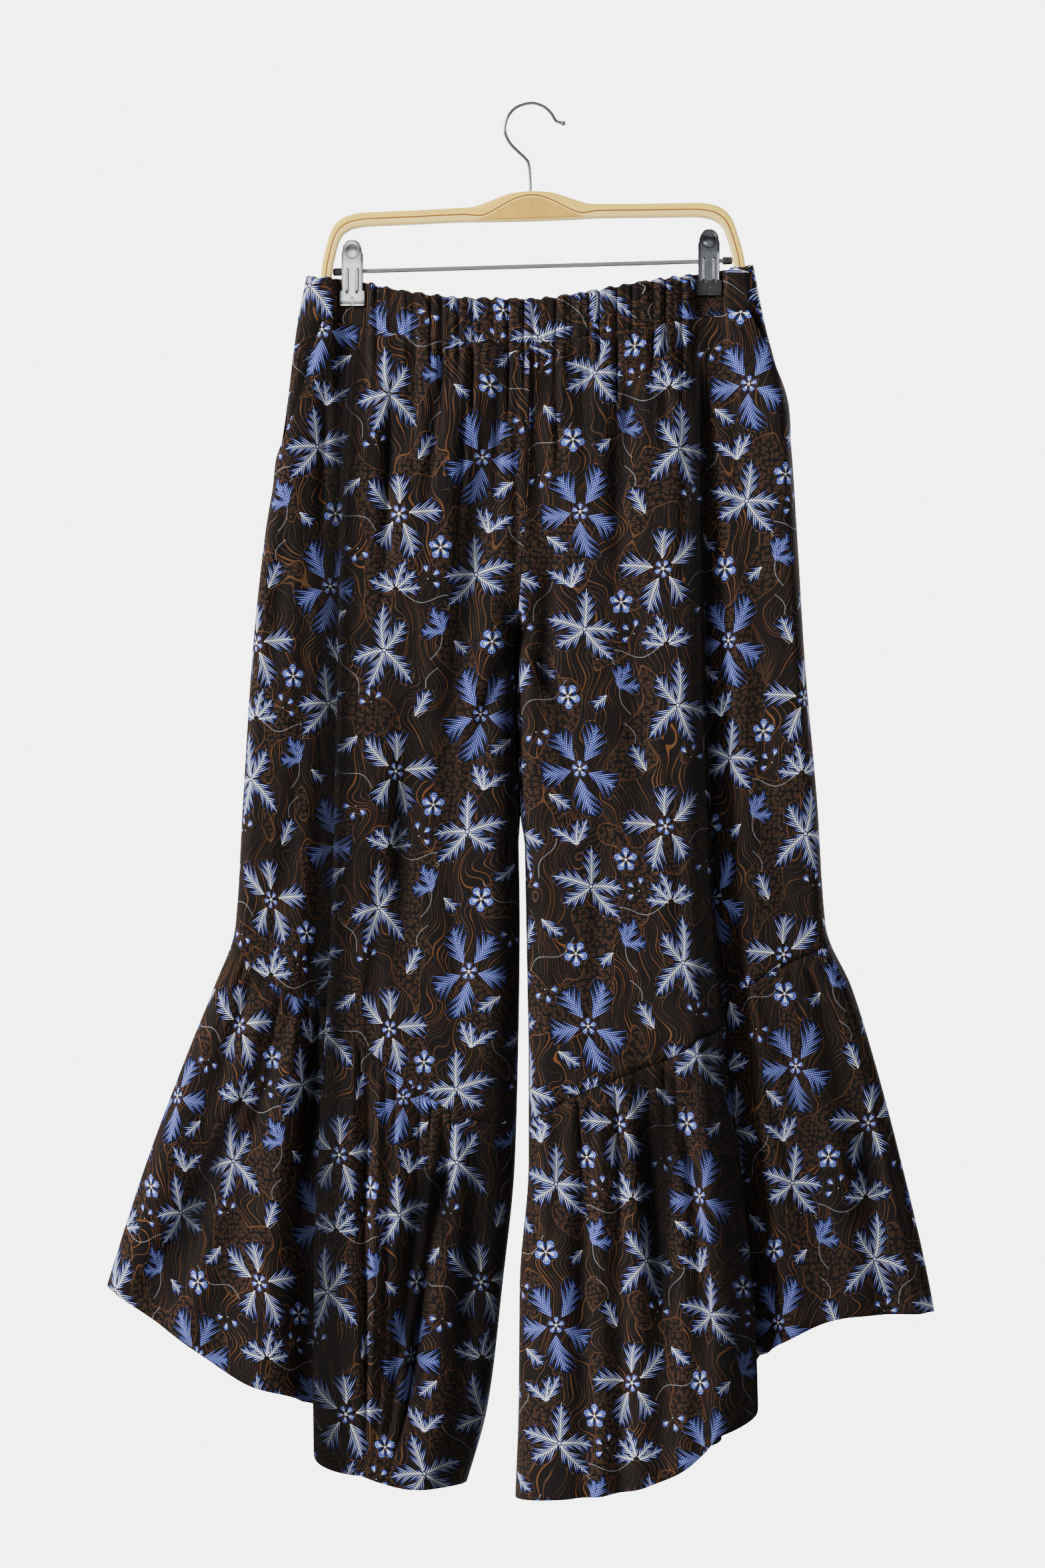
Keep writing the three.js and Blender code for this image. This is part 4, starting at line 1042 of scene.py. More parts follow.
# %% Small petals
petal_motif, draw, given, result = new_group(
    "small petals", {"Local": "Vector", "Fan": "Vector", "Petal": "Vector"}, PARTS)
length, width, core = draw.split(given["Petal"])
_, _, far, s, t = in_fan(draw, given)
t = abs(t)
share = s / length
round_end = (share - 0.62) / 0.4
side = t / width
bowl = (round_end * round_end + side * side).of("SQRT")
wedge = (t < s * 0.34) * (share < 0.58) * (s > 0.0)
row, bead = [(place / 1.9).of("FRACT") - 0.5 for place in (s, t)]
dots = (row * row + bead * bead < 0.07) * (bowl < 0.92) * (share > 0.6)
hand_over(draw, result, White=wedge | dots | (far < core), Blue=bowl < 1.0,
          Halo=draw.line(bowl - 1.35, 0.09), Ground=(bowl < 1.3) | (far < core + 1.2))
print(petal_motif.name, len(petal_motif.nodes), "nodes")

# %% [markdown]
# ## Dotted vines
# Thin lines of dots wander between the motifs. Each is a short wave about a straight
# line, cut off at its ends.

# %% Dotted vine
vine_motif, draw, given, result = new_group(
    "dotted vine", {"Local": "Vector", "Vine": "Vector"}, {"White": "Float"})
x, y, _ = draw.split(given["Local"])
half, sway, wave = draw.split(given["Vine"])
on_line = draw.line(y - (x / wave).of("SINE") * sway, 0.32) * draw.line(x, half)
hand_over(draw, result, White=on_line * ((x / 1.5).of("FRACT") < 0.58))
print(vine_motif.name, len(vine_motif.nodes), "nodes")

# %% [markdown]
# ## The layout
# One repeat, laid out one by one: two plain stars, a dotted star, a star with its leaves set
# round a rosette, a spray, a fir sprig, single leaves, small flowers, bells and vines.
# Each table row is one motif, and a star's rosette is simply a small flower at its centre.

# %% Layout of one repeat
FIVE = math.radians(72)
STARS = [      # x, y, turn, reach, step, most, start, length, half width, dotted
    (3, -4, 0.30, 40, FIVE, 2, 9.0, 29, 8.2, 1),
    (84, 60, -0.15, 40, FIVE, 2, 9.5, 28, 7.6, 0),
    (70, 168, 0.62, 40, FIVE, 2, 0.8, 34, 7.2, 0),
    (-4, 121, -0.45, 40, FIVE, 2, 0.8, 32, 6.8, 0),
]
SPRAYS = [     # the same columns
    (80, -8, -1.45, 26, 0.74, 2, 3.0, 21, 4.8, 0),
    (8, 158, -1.45, 26, 0.60, 1, 0.5, 23, 4.6, 0),
    (101, 109, -1.05, 24, 1.2, 0, 0.5, 25, 6.4, 0),
    (33, 204, 2.55, 24, 1.2, 0, 0.5, 22, 5.8, 0),
    (44, 92, 2.25, 20, 1.2, 0, 0.5, 20, 5.6, 0),
    (126, 184, -2.30, 24, 0.74, 1, 1.0, 20, 5.2, 1),
    (-24, 62, 0.9, 20, 1.2, 0, 0.5, 17, 5.2, 0),
]
PETALS = [     # x, y, turn, reach, step, most, start, length, half width, centre
    (3, -4, 0.94, 12, FIVE, 2, 1.6, 6.0, 2.3, 1.3),
    (84, 60, 0.48, 12, FIVE, 2, 1.8, 6.2, 2.3, 1.5),
    (70, 168, 0.2, 4, FIVE, 2, 0.8, 1.2, 0.6, 1.2),
    (-4, 121, 0.2, 4, FIVE, 2, 0.8, 1.2, 0.6, 1.2),
    (12, 61, 0.35, 16, FIVE, 2, 1.5, 10.0, 3.6, 1.2),
    (122, 30, -0.3, 15, FIVE, 2, 1.5, 9.4, 3.4, 1.2),
    (43, 29, 1.9, 15, 1.25, 1, 5.5, 6.6, 2.7, 0.5),
    (110, 2, -0.6, 15, 1.15, 1, 6.0, 6.4, 2.5, 0.5),
    (58, 122, -1.9, 15, 1.2, 1, 5.5, 6.6, 2.6, 0.5),
]
VINES = [      # x, y, turn, reach, half length, sway, wave
    (38, 58, 0.5, 40, 30, 4.5, 7.5),
    (-36, 70, -1.2, 40, 27, 4.0, 8.5),
    (112, 130, 1.9, 40, 24, 5.0, 7.0),
    (36, 150, 1.1, 40, 24, 3.5, 6.5),
    (116, 214, 0.1, 40, 30, 4.5, 8.0),
]


def nearest(draw, cloth, rows):
    """Picks, at each place on the cloth, the nearest motif of a table and its numbers."""
    best = None
    for x, y, turn, reach, *numbers in rows:
        local, nearness = use(draw, place_motif, Cloth=cloth, At=(x, y, 0), Turn=turn, Reach=reach)
        parts = [tuple(numbers[:3]), tuple(numbers[3:])]
        if not best:
            best = [local, nearness, *parts]
            continue
        closer = nearness < best[1]
        chosen = [draw.choose(closer, old, new, "VECTOR") for old, new in zip(best[2:], parts)]
        best = [draw.choose(closer, best[0], local, "VECTOR"), nearness & best[1], *chosen]
    return best


print("motifs in one repeat", len(STARS) + len(SPRAYS) + len(PETALS) + len(VINES))

# %% [markdown]
# ## The printed cotton
# Dark brown ground with flowing ochre contour lines and patches of small rings, then the
# motifs. Contour lines come from a slow noise that bends a row of stripes. The rings come
# from a cell pattern, shown only in patches. A fine weave, a soft sheen and uneven dye
# make it cotton. The same cloth is used for every panel.
# Where a shell holds painted shade, in folds and beside lapped edges, the colour is painted towards near
# black.

# %% Printed cotton
GROUND_DARK = (0.0048, 0.0040, 0.0040, 1)
GROUND_LIGHT = (0.0123, 0.0095, 0.0086, 1)
FAINT = (0.0345, 0.0246, 0.0189, 1)
OCHRE = (0.135, 0.0525, 0.018, 1)
BLUE = (0.028, 0.047, 0.32, 1)
CREAM = (0.62, 0.65, 0.72, 1)
# Near black colour of the painted shade on the cloth.
PAINTED_SHADE_COLOUR = (0.0010, 0.0008, 0.0008, 1)
PATCH_FROM = 0.555                 # noise above this holds rings in place of contour lines


def finish(name, **numbers):
    """A new material with its Principled shader, plain numbers on it, and a Drawing."""
    made = bpy.data.materials.new(name)
    made.use_nodes = True
    shader = made.node_tree.nodes["Principled BSDF"]
    for title, number in numbers.items():
        shader.inputs[title.replace("_", " ")].default_value = number
    return made, shader, Drawing(made.node_tree)


def bumpy(draw, shader, height, distance, strength):
    bump = draw.node("ShaderNodeBump")
    hand_over(draw, bump.inputs, Strength=strength, Distance=distance, Height=height)
    draw.feed(shader.inputs["Normal"], Amount(draw, bump.outputs[0]))


def contour_lines(draw, cloth):
    """Flowing lines of uneven strength, with patches of small rings between them."""
    slow = draw.noise(cloth, 0.013, detail=1.0)
    middling = draw.noise(cloth, 0.028, detail=0.0)
    x, y, _ = draw.split(cloth)
    sway = (slow * 9.0 + y / 27.0).of("SINE")
    contour = (sway * 8.0 + x) / 3.1 + middling * 8.0
    across = abs(contour.of("FRACT") - 0.5)
    strength = draw.noise(draw.join(contour * 0.9, y * 0.022), 1.0, detail=1.0)
    flow = across < draw.ramp(strength, 0.25, 0.8) * 0.15
    bright = draw.ramp(strength, 0.55, 0.68) * 0.7 + 0.3
    cells = draw.node("ShaderNodeTexVoronoi", voronoi_dimensions="2D", feature="F1")
    hand_over(draw, cells.inputs, Vector=cloth, Scale=0.23, Randomness=0.75)
    ring = draw.line(Amount(draw, cells.outputs["Distance"]) - 0.27, 0.06)
    where = draw.noise(draw.vector("MULTIPLY", cloth, (1.0, 0.62, 1.0)), 0.024, detail=0.6)
    patch = where > PATCH_FROM
    edge = draw.line(where - PATCH_FROM, 0.004) * 0.55
    return flow * bright * (1.0 - patch) | ring * patch * 0.42 | edge


def motifs(draw, cloth):
    """The parts that all motifs together leave white and blue, ring round and keep clear."""
    star, spray = [use(draw, leaf_motif, Local=leaf[0], Fan=leaf[2], Leaf=leaf[3])
                   for leaf in (nearest(draw, cloth, rows) for rows in (STARS, SPRAYS))]
    white, blue, halo, ground = [a | b for a, b in zip(star, spray)]
    petal = nearest(draw, cloth, PETALS)
    petals = use(draw, petal_motif, Local=petal[0], Fan=petal[2], Petal=petal[3])
    vines = None
    for x, y, turn, far, *vine in VINES:
        local = use(draw, place_motif, Cloth=cloth, At=(x, y, 0), Turn=turn, Reach=far)[0]
        one = use(draw, vine_motif, Local=local, Vine=vine)[0]
        vines = vines | one if vines else one
    petal_free = 1.0 - petals[3]
    ground = ground | petals[3]
    white = white * petal_free | petals[0]
    white = white | vines * (1.0 - ground) * 0.5
    return white, blue * petal_free | petals[1], halo | petals[2], ground


def printed_cotton():
    made, shader, draw = finish("printed batik cotton", Roughness=0.82, Specular_IOR_Level=0.07,
                                Sheen_Weight=0.01, Sheen_Roughness=0.5)
    cloth = draw.in_millimetres("ShaderNodeUVMap", 0, uv_map="cloth")
    white, blue, halo, ground = motifs(draw, cloth)
    dye = draw.noise(cloth, 0.35, detail=3.0)
    lines = contour_lines(draw, cloth) * (1.0 - ground) | halo * 0.6 * draw.ramp(dye, 0.42, 0.62)
    colour = draw.colour(dye, GROUND_DARK, GROUND_LIGHT)
    colour = draw.colour(lines * 3.0 & 1.0, colour, draw.colour(lines, FAINT, OCHRE))
    colour = draw.colour(white, draw.colour(blue, colour, BLUE), CREAM)
    # Painted shade: the colour goes towards near black where the cloth's hollow attribute is high.
    draw.feed(shader.inputs["Base Color"], draw.colour(draw.hollow(), colour, PAINTED_SHADE_COLOUR))
    height = draw.noise(cloth, 0.13, detail=3.0) * 1.3
    for way in ("X", "Y"):
        threads = draw.node("ShaderNodeTexWave", wave_type="BANDS", bands_direction=way)
        hand_over(draw, threads.inputs, Vector=cloth, Scale=0.8, Distortion=0.6)
        height = height + Amount(draw, threads.outputs["Fac"]) * 0.05
    bumpy(draw, shader, height, 0.001, 0.5)
    print(made.name, len(made.node_tree.nodes), "nodes")
    return made


COTTON = printed_cotton()
for thing in shells:
    thing.data.materials.append(COTTON)

# %% [markdown]
# ## The wooden hanger
# The frame is bent from two glued laminations of pale wood, so a thin dark glue line runs
# along the middle of the band all round. Over the centre the upper part bows up to make
# room for a lens-shaped block. The band is lofted through stations that each have an
# outer and an inner point. Its UV map holds the distance from the glue line in
# millimetres, so the line is drawn by the material exactly where it belongs.

# %% Hanger band
TILT = math.radians(1.65)
FRAME_ORIGIN = (-0.6, -78.4)
STATIONS = [                       # outer x, z and inner x, z from the middle to an end
    (0, 0, 0, -26.4), (8, -0.4, 8, -26.4), (20, -2, 20, -26.3), (34, -6.8, 33, -26.1),
    (44, -10.4, 43, -25.9), (52, -12.6, 52, -25.7), (66, -13.3, 66, -25.5), (100, -14.2, 100, -26.1),
    (130, -14.6, 128, -26.6), (152, -15, 145, -26.8), (161, -16.4, 153, -27.5), (168, -18.4, 160, -28.6),
    (173.6, -22, 165, -30.8), (178, -26.5, 169, -33.5), (181.6, -33, 172, -37.6),
    (184.5, -42, 174.5, -43), (187.4, -52, 177.4, -53), (190, -64, 180, -64), (192, -80, 182, -80),
]
LENS = {"half": 50.0, "top": -5.6, "bottom": -24.2}
PALE_SIDE = 1.9                    # wood between the glue line and the block


def hung(points):
    """Places hanger points, given as x, y, z in its own frame, in the model's frame."""
    points = np.asarray(points, float)
    x, y, z = points[..., 0], points[..., 1], points[..., 2]
    c, s = math.cos(TILT), math.sin(TILT)
    return np.stack([FRAME_ORIGIN[0] + c * x - s * z, y, FRAME_ORIGIN[1] + s * x + c * z], axis=-1)


def lens_top(x):
    rise = np.cos(np.pi / 2 * np.clip(x / LENS["half"], -1, 1)) ** 1.6
    return mix(LENS["bottom"], LENS["top"], rise)


def through(rows, steps):
    """Points on a smooth line through rows, with equal steps between each two."""
    rows = np.asarray(rows, float)
    padded = np.vstack([2 * rows[0] - rows[1], rows, 2 * rows[-1] - rows[-2]])
    made = []
    for i in range(1, len(padded) - 2):
        a, b, c, d = padded[i - 1:i + 3]
        for t in np.arange(steps) / steps:
            made.append(0.5 * (2 * b + (c - a) * t + (2 * a - 5 * b + 4 * c - d) * t**2
                               + (3 * b - a - 3 * c + d) * t**3))
    made.append(rows[-1])
    return np.array(made)


half_band = through(STATIONS, 6)
mirrored = half_band[:0:-1] * (-1, 1, -1, 1)
band = np.vstack([mirrored, half_band])
outer, inner = band[:, :2], band[:, 2:]
share = 1 - smooth(np.abs(outer[:, 0]), 38, 62)
over_block = np.stack([outer[:, 0], lens_top(outer[:, 0]) + PALE_SIDE], axis=-1)
glue = mix((outer + inner) / 2, over_block, share[:, None])
section = [(0.0, 4.6), (0.02, 5.4), (0.08, 5.85), (0.2, 6.0), (0.36, 6.0), (0.5, 6.0),
           (0.64, 6.0), (0.8, 6.0), (0.92, 5.85), (0.98, 5.4), (1.0, 4.6)]
loop = [(v, -y) for v, y in section] + [(v, y) for v, y in section[::-1]]
rings, uvs = [], []
run = np.concatenate([[0], np.cumsum(np.linalg.norm(np.diff((outer + inner) / 2, axis=0), axis=1))])
for i in range(len(band)):
    ring, uv = [], []
    for v, y in loop:
        place = mix(outer[i], glue[i], v * 2) if v <= 0.5 else mix(glue[i], inner[i], v * 2 - 1)
        ring.append((place[0], y, place[1]))
        across = float(np.linalg.norm(place - glue[i])) * (1 if v > 0.5 else -1)
        uv.append((run[i], across))
    rings.append(ring)
    uvs.append(uv)


def tube_from_rings(name, rings, uvs=None):
    """Joins rings of points, in millimetres, to a closed tube."""
    rings = np.asarray(rings, float)
    count, around = rings.shape[:2]
    index = np.arange(count * around).reshape(count, around)
    quads = []
    for r in range(count - 1):
        for k in range(around):
            n = (k + 1) % around
            quads.append((index[r, k], index[r, n], index[r + 1, n], index[r + 1, k]))
    faces = [tuple(int(i) for i in quad) for quad in quads]
    faces += [tuple(int(i) for i in cap) for cap in (index[0][::-1], index[-1])]
    mesh = bpy.data.meshes.new(name)
    mesh.from_pydata((rings.reshape(-1, 3) / 1000).tolist(), [], faces)
    if uvs is not None:
        flat = np.asarray(uvs, float).reshape(-1, 2) / 1000
        layer = mesh.uv_layers.new(name="grain")
        for loop_item in mesh.loops:
            layer.data[loop_item.index].uv = flat[loop_item.vertex_index]
    work = bmesh.new()
    work.from_mesh(mesh)
    bmesh.ops.recalc_face_normals(work, faces=work.faces)
    work.to_mesh(mesh)
    work.free()
    mesh.shade_smooth()
    return add_object(name, mesh)


hanger_band = tube_from_rings("hanger_band", hung(rings), uvs)
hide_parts("hanger_frame")
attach(hanger_band, "root")
print("band length", round(run[-1]), "mm, faces", len(hanger_band.data.polygons))

# %% [markdown]
# ## The block and the wood
# The block is a lens of darker wood set into the bow, flush with the band. Both woods are
# drawn from stretched noise: long fibres for the straight band, wavy grain in the block.

# %% Block in the bow
block_rings = []
for y, inset in [(-6.06, 0.25), (-6.06, 0.05), (-5.95, 0.0), (5.95, 0.0), (6.06, 0.05), (6.06, 0.25)]:
    xs = np.linspace(-LENS["half"] + 2, LENS["half"] - 2, 49)
    squeeze = 1 - inset / 25
    top = [(x * squeeze, y, lens_top(x) - inset) for x in xs]
    sag = 0.5 * np.cos(np.pi / 2 * xs / LENS["half"])
    bottom = [(x * squeeze, y, LENS["bottom"] + inset - s) for x, s in zip(xs[::-1], sag[::-1])]
    block_rings.append(top + bottom)
hanger_block = tube_from_rings("hanger_lens_block", hung(block_rings))
for face in hanger_block.data.polygons:
    face.use_smooth = False
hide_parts("hanger_block")
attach(hanger_block, "root")


def wood(name, light, dark, along, glue_line):
    made, shader, draw = finish(name, Roughness=0.42, Coat_Weight=0.12)
    if glue_line:
        place = draw.in_millimetres("ShaderNodeUVMap", 0, uv_map="grain")
    else:
        place = draw.in_millimetres("ShaderNodeTexCoord", "Object")
    stretched = draw.vector("MULTIPLY", place, along)
    height = fibre = draw.noise(stretched, 1.0, detail=4.0, rough=0.6)
    broad = draw.noise(draw.vector("MULTIPLY", stretched, (0.35, 0.35, 0.35)), 1.0)
    colour = draw.colour(draw.ramp(fibre * 0.6 + broad * 0.4, 0.3, 0.7), dark, light)
    if glue_line:
        from_line = draw.split(place)[1]
        near = 1.0 - draw.ramp(abs(from_line), 0.4, 0.8)
        colour = draw.colour(near, colour, GLUE)
        colour = draw.colour(draw.ramp(from_line, 0.5, 0.9) * 0.3, colour, LOWER_LAMINATION)
        height = fibre - near * 2.0
    draw.feed(shader.inputs["Base Color"], colour)
    bumpy(draw, shader, height, 0.0002, 0.4)
    return made


GLUE = (0.25, 0.085, 0.018, 1)
LOWER_LAMINATION = (0.92, 0.76, 0.42, 1)
PALE_WOOD = wood("pale bent wood", (1.0, 0.72, 0.13, 1), (0.94, 0.60, 0.08, 1), (0.02, 1.1, 1.0), True)
TAN_WOOD = wood("block wood", (0.80, 0.46, 0.07, 1), (0.60, 0.31, 0.04, 1), (0.06, 0.1, 0.55), False)
hanger_band.data.materials.append(PALE_WOOD)
hanger_block.data.materials.append(TAN_WOOD)
print(PALE_WOOD.name, "and", TAN_WOOD.name)

# %% [markdown]
# ## Metals and rubber
# Chrome is nearly a mirror, so its look comes from what it reflects, broken up by faint
# scratches and smears. On the clips the reflections are partly painted: the left clip's
# chrome is a near white, barely metallic colour that paints its bright reflection, the
# right clip's and the springs' a darker tint that paints a dark reflection, and a painted
# shade darkens the steep sides of pressed forms. The rod is duller drawn steel with marks
# along it. The rubber sleeves are almost black with a soft shine.

# %% Metals and rubber


def metal(name, tint, roughness, scratch, stretch, metallic=1.0):
    made, shader, draw = finish(name, Metallic=metallic)
    place = draw.vector("MULTIPLY", draw.in_millimetres("ShaderNodeTexCoord", "Object"), stretch)
    marks = draw.noise(place, 1.0, detail=4.0, kind="3D")
    darker = (*(part * 0.82 for part in tint[:3]), 1)
    colour = draw.colour(draw.ramp(marks, 0.35, 0.65), darker, tint)
    # Painted shade and dark reflection, from the points' hollow attribute, on the steep sides of pressed
    # forms.
    draw.feed(shader.inputs["Base Color"], draw.colour(draw.hollow(), colour, PAINTED_DARK_ON_SLOPES))
    draw.feed(shader.inputs["Roughness"], marks * scratch + roughness)
    bumpy(draw, shader, marks, 0.00004, 0.3)
    return made


# Colour of the painted shade and dark reflection on the clips' steep pressed slopes.
PAINTED_DARK_ON_SLOPES = (0.012, 0.013, 0.015, 1)    # in the steep sides of pressed forms
PAINTED_BRIGHT_CHROME = metal("chrome painted with a bright reflection", (0.98, 0.99, 1.0, 1), 0.08, 0.10, (0.3, 0.3, 0.3), 0.12)
PAINTED_DARK_CHROME = metal("chrome painted with a dark reflection", (0.50, 0.51, 0.54, 1), 0.10, 0.14, (0.3, 0.3, 0.3))
WIRE_CHROME = metal("chromed wire", (0.22, 0.225, 0.235, 1), 0.14, 0.12, (0.6, 0.6, 0.2), 0.8)
ROD_STEEL = metal("drawn steel rod", (0.32, 0.33, 0.35, 1), 0.26, 0.16, (0.05, 1.6, 1.6), 0.6)
RUBBER, shader, draw = finish("black rubber sleeve", Roughness=0.5)
grit = draw.noise(draw.in_millimetres("ShaderNodeTexCoord", "Object"), 1.4, detail=3.0)
black = draw.colour(grit, (0.010, 0.010, 0.011, 1), (0.024, 0.024, 0.026, 1))
draw.feed(shader.inputs["Base Color"], black)
bumpy(draw, shader, grit, 0.0001, 0.4)
print("metals", 4, "rubber", 1)

# %% [markdown]
# ## Wire, rod and sleeves
# The hook is one bent wire and the rod a straight one, so both are made the same way: a
# Geometry Nodes tree turns a line of points into a round wire of a given radius. The tree
# is built here, its inputs are named sizes, and its result is kept as a plain mesh.

# %% Geometry Nodes for round wire


def wire_tree():
    tree = bpy.data.node_groups.new("round wire along a line", "GeometryNodeTree")
    face = tree.interface
    face.new_socket("Geometry", in_out="INPUT", socket_type="NodeSocketGeometry")
    for title, value in (("Radius", 0.0014), ("Step", 0.001)):
        face.new_socket(title, in_out="INPUT", socket_type="NodeSocketFloat").default_value = value
    face.new_socket("Sides", in_out="INPUT", socket_type="NodeSocketInt").default_value = 16
    face.new_socket("Finish", in_out="INPUT", socket_type="NodeSocketMaterial")
    face.new_socket("Geometry", in_out="OUTPUT", socket_type="NodeSocketGeometry")
    node, link = tree.nodes.new, tree.links.new
    entry, leave = node("NodeGroupInput"), node("NodeGroupOutput")
    to_curve, resample = node("GeometryNodeMeshToCurve"), node("GeometryNodeResampleCurve")
    ring, sweep = node("GeometryNodeCurvePrimitiveCircle"), node("GeometryNodeCurveToMesh")
    real, paint_it = node("GeometryNodeRealizeInstances"), node("GeometryNodeSetMaterial")
    resample.mode = "LENGTH"
    link(entry.outputs["Geometry"], to_curve.inputs[0])
    link(to_curve.outputs[0], resample.inputs[0])
    link(entry.outputs["Step"], resample.inputs["Length"])
    link(entry.outputs["Radius"], ring.inputs["Radius"])
    link(entry.outputs["Sides"], ring.inputs["Resolution"])
    link(resample.outputs[0], sweep.inputs["Curve"])
    link(ring.outputs[0], sweep.inputs["Profile Curve"])
    sweep.inputs["Fill Caps"].default_value = True
    link(sweep.outputs[0], real.inputs[0])
    link(real.outputs[0], paint_it.inputs["Geometry"])
    link(entry.outputs["Finish"], paint_it.inputs["Material"])
    link(paint_it.outputs[0], leave.inputs[0])
    return tree


def line_object(name, points):
    """A mesh of edges along points in millimetres."""
    mesh = bpy.data.meshes.new(name)
    edges = [(i, i + 1) for i in range(len(points) - 1)]
    mesh.from_pydata((np.asarray(points, float) / 1000).tolist(), edges, [])
    return add_object(name, mesh)


def grown(thing, tree, **sizes):
    """Runs a Geometry Nodes tree on an object and keeps the result as its plain mesh."""
    modifier = thing.modifiers.new(tree.name, "NODES")
    modifier.node_group = tree
    names = {item.name: item.identifier
             for item in tree.interface.items_tree if item.in_out == "INPUT"}
    for title, value in sizes.items():
        modifier[names[title.replace("_", " ")]] = value
    graph = bpy.context.evaluated_depsgraph_get()
    mesh = bpy.data.meshes.new_from_object(thing.evaluated_get(graph))
    thing.modifiers.clear()
    thing.data = mesh
    mesh.shade_smooth()


ROUND_WIRE = wire_tree()
HOOK_LINE = [(-0.6, -83.6), (-0.8, -68), (-2, -54.2), (-4.6, -49), (-11.3, -42.6), (-19.4, -34),
             (-23.6, -23.4), (-21.2, -11.6), (-13.6, -2.6), (0, 1.4), (11.4, -1.8), (18.4, -8.2),
             (22.4, -14.6), (28.2, -16.6)]
ROD_HEIGHT = -67.2                 # in the hanger's own frame
ROD_HALF = 179.9
SLEEVE_HALF = 4.25
BALL = 2.3
hook_points = [(x, 0, z) for x, z in through(HOOK_LINE, 10)]
hook_wire = line_object("hook_wire", hook_points)
grown(hook_wire, ROUND_WIRE, Radius=0.0014, Step=0.0008, Sides=18, Finish=WIRE_CHROME)
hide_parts("hanger_hook")
rod_points = hung([(x, 0, ROD_HEIGHT) for x in np.linspace(-ROD_HALF, ROD_HALF, 13)])
rod = line_object("clip_rod", rod_points)
grown(rod, ROUND_WIRE, Radius=0.002, Step=0.006, Sides=24, Finish=ROD_STEEL)
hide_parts("hanger_rod")


def turned(name, profile, centre, axis_tilt, material, sides=28):
    """A turned piece about the x axis from rows of place along it and radius, in mm."""
    angle = np.linspace(0, 2 * np.pi, sides, endpoint=False)
    c, s = math.cos(axis_tilt), math.sin(axis_tilt)
    rings = []
    for along, radius in profile:
        y, z = radius * np.cos(angle), radius * np.sin(angle)
        rings.append(np.stack([centre[0] + c * along - s * z, centre[1] + y,
                               centre[2] + s * along + c * z], axis=-1))
    thing = tube_from_rings(name, rings)
    thing.data.materials.append(material)
    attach(thing, "root")
    return thing


ball_profile = [(BALL * math.sin(a), max(0.05, BALL * math.cos(a)))
                for a in np.linspace(-1.57, 1.57, 17)]
hook_ball = turned("hook_ball", ball_profile, (28.9, 0, -16.9), -0.3, WIRE_CHROME)
for piece in (hook_wire, hook_ball, rod):
    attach(piece, "root")
for name, way in (("left", -1), ("right", 1)):
    x = way * (ROD_HALF - SLEEVE_HALF - 0.4)
    profile = [(-SLEEVE_HALF, 2.2), (-SLEEVE_HALF, 3.0), (-3.9, 3.4), (-3.4, 3.5), (2.6, 3.5),
               (2.9, 3.3), (3.2, 3.5), (3.9, 3.4), (SLEEVE_HALF, 3.0), (SLEEVE_HALF, 2.2)]
    cap = turned(f"rod_sleeve_{name}", profile, hung((x, 0, ROD_HEIGHT)), TILT, RUBBER)
    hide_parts(f"rod_cap_{name}")
print("hook wire faces", len(hook_wire.data.polygons))

# %% [markdown]
# ## Clips
# Each clip is two pressed steel plates on a rolled spring barrel. A press leaves a round
# dimple in the head, two ribs with a hole at each lower end, and a wide jaw with a lip.
# The plate is a fine grid whose distance from the middle plane is the sum of those forms,
# then it is given the steel's thickness, and a painted shade darkens its steep sides.
# The two clips' chromes paint a bright and a dark reflection, and a thin black sheet
# lies just over the right clip's jaw.

# %% Clip plates
PLATE = [(0, 2.6, 9.6), (1.6, 5.2, 9.2), (4.4, 7.4, 8.5), (8.2, 8.2, 7.6), (12, 9.3, 6.7),
         (22, 9.4, 4.9), (28, 9.4, 4.6), (44.6, 9.4, 4.2), (45.6, 11.4, 4.1), (57.4, 11.4, 4),
         (58.5, 10.6, 4)]          # distance down, half width, distance out
PLATE_END = 58.5
STEEL = 0.9                        # thickness of the plates
plate_half, plate_out = curve(PLATE, 0, 1), curve(PLATE, 0, 2)


def plate_relief(x, down):
    """How far the pressed forms stand out of the plate."""
    r = np.hypot(x, down - 9.4)
    relief = -1.1 * np.clip(1 - (r / 5.6) ** 2, 0, 1) + 0.25 * hump(r - 6.1, 0.5)
    for side in (-4.5, 4.5):
        along = smooth(down, 24.5, 26) * (1 - smooth(down, 44.4, 45.6))
        relief = relief + 0.75 * along * np.exp(-(((x - side) / 0.95) ** 4))
        hole = np.hypot((x - side) / 1.15, (down - 46.2) / 1.3)
        relief = relief - 1.3 * np.exp(-(hole**4))
    jaw = 0.5 * hump(down - 52, 5.0) - 0.35 * hump(down - 55.6, 0.7)
    rivet = 0.6 * hump(np.hypot(x, down - 51.5), 1.1)
    lip = 0.55 * smooth(down, 56.0, 57.4) * (1 - 0.8 * hump(x, 0.8))
    return relief + jaw - rivet + lip


def clip_plate(name, sign, first=0.0, lift=0.0, wide=1.0):
    clip_x, clip_top = CLIPS[name]
    down = np.linspace(0, 1, 121)
    down = np.unique(np.concatenate([3 * down[:40:2] ** 1.5, first + (PLATE_END - first) * down]))
    down = down[(down >= first) & (down <= PLATE_END)]
    share = np.linspace(-1, 1, 41)
    head = np.sqrt(np.clip(1 - ((8.2 - np.minimum(down, 8.2)) / 8.25) ** 2, 0.02, 1))
    half = np.where(down < 8.2, 8.3 * head, plate_half(down)) * wide
    x = half[:, None] * share[None, :]
    d = np.broadcast_to(down[:, None], x.shape)
    curl = 0.8 * np.abs(share[None, :]) ** 6
    out = plate_out(d) + plate_relief(x, d) - curl + lift
    return np.stack([clip_x + x, sign * out, clip_top - d], axis=-1)


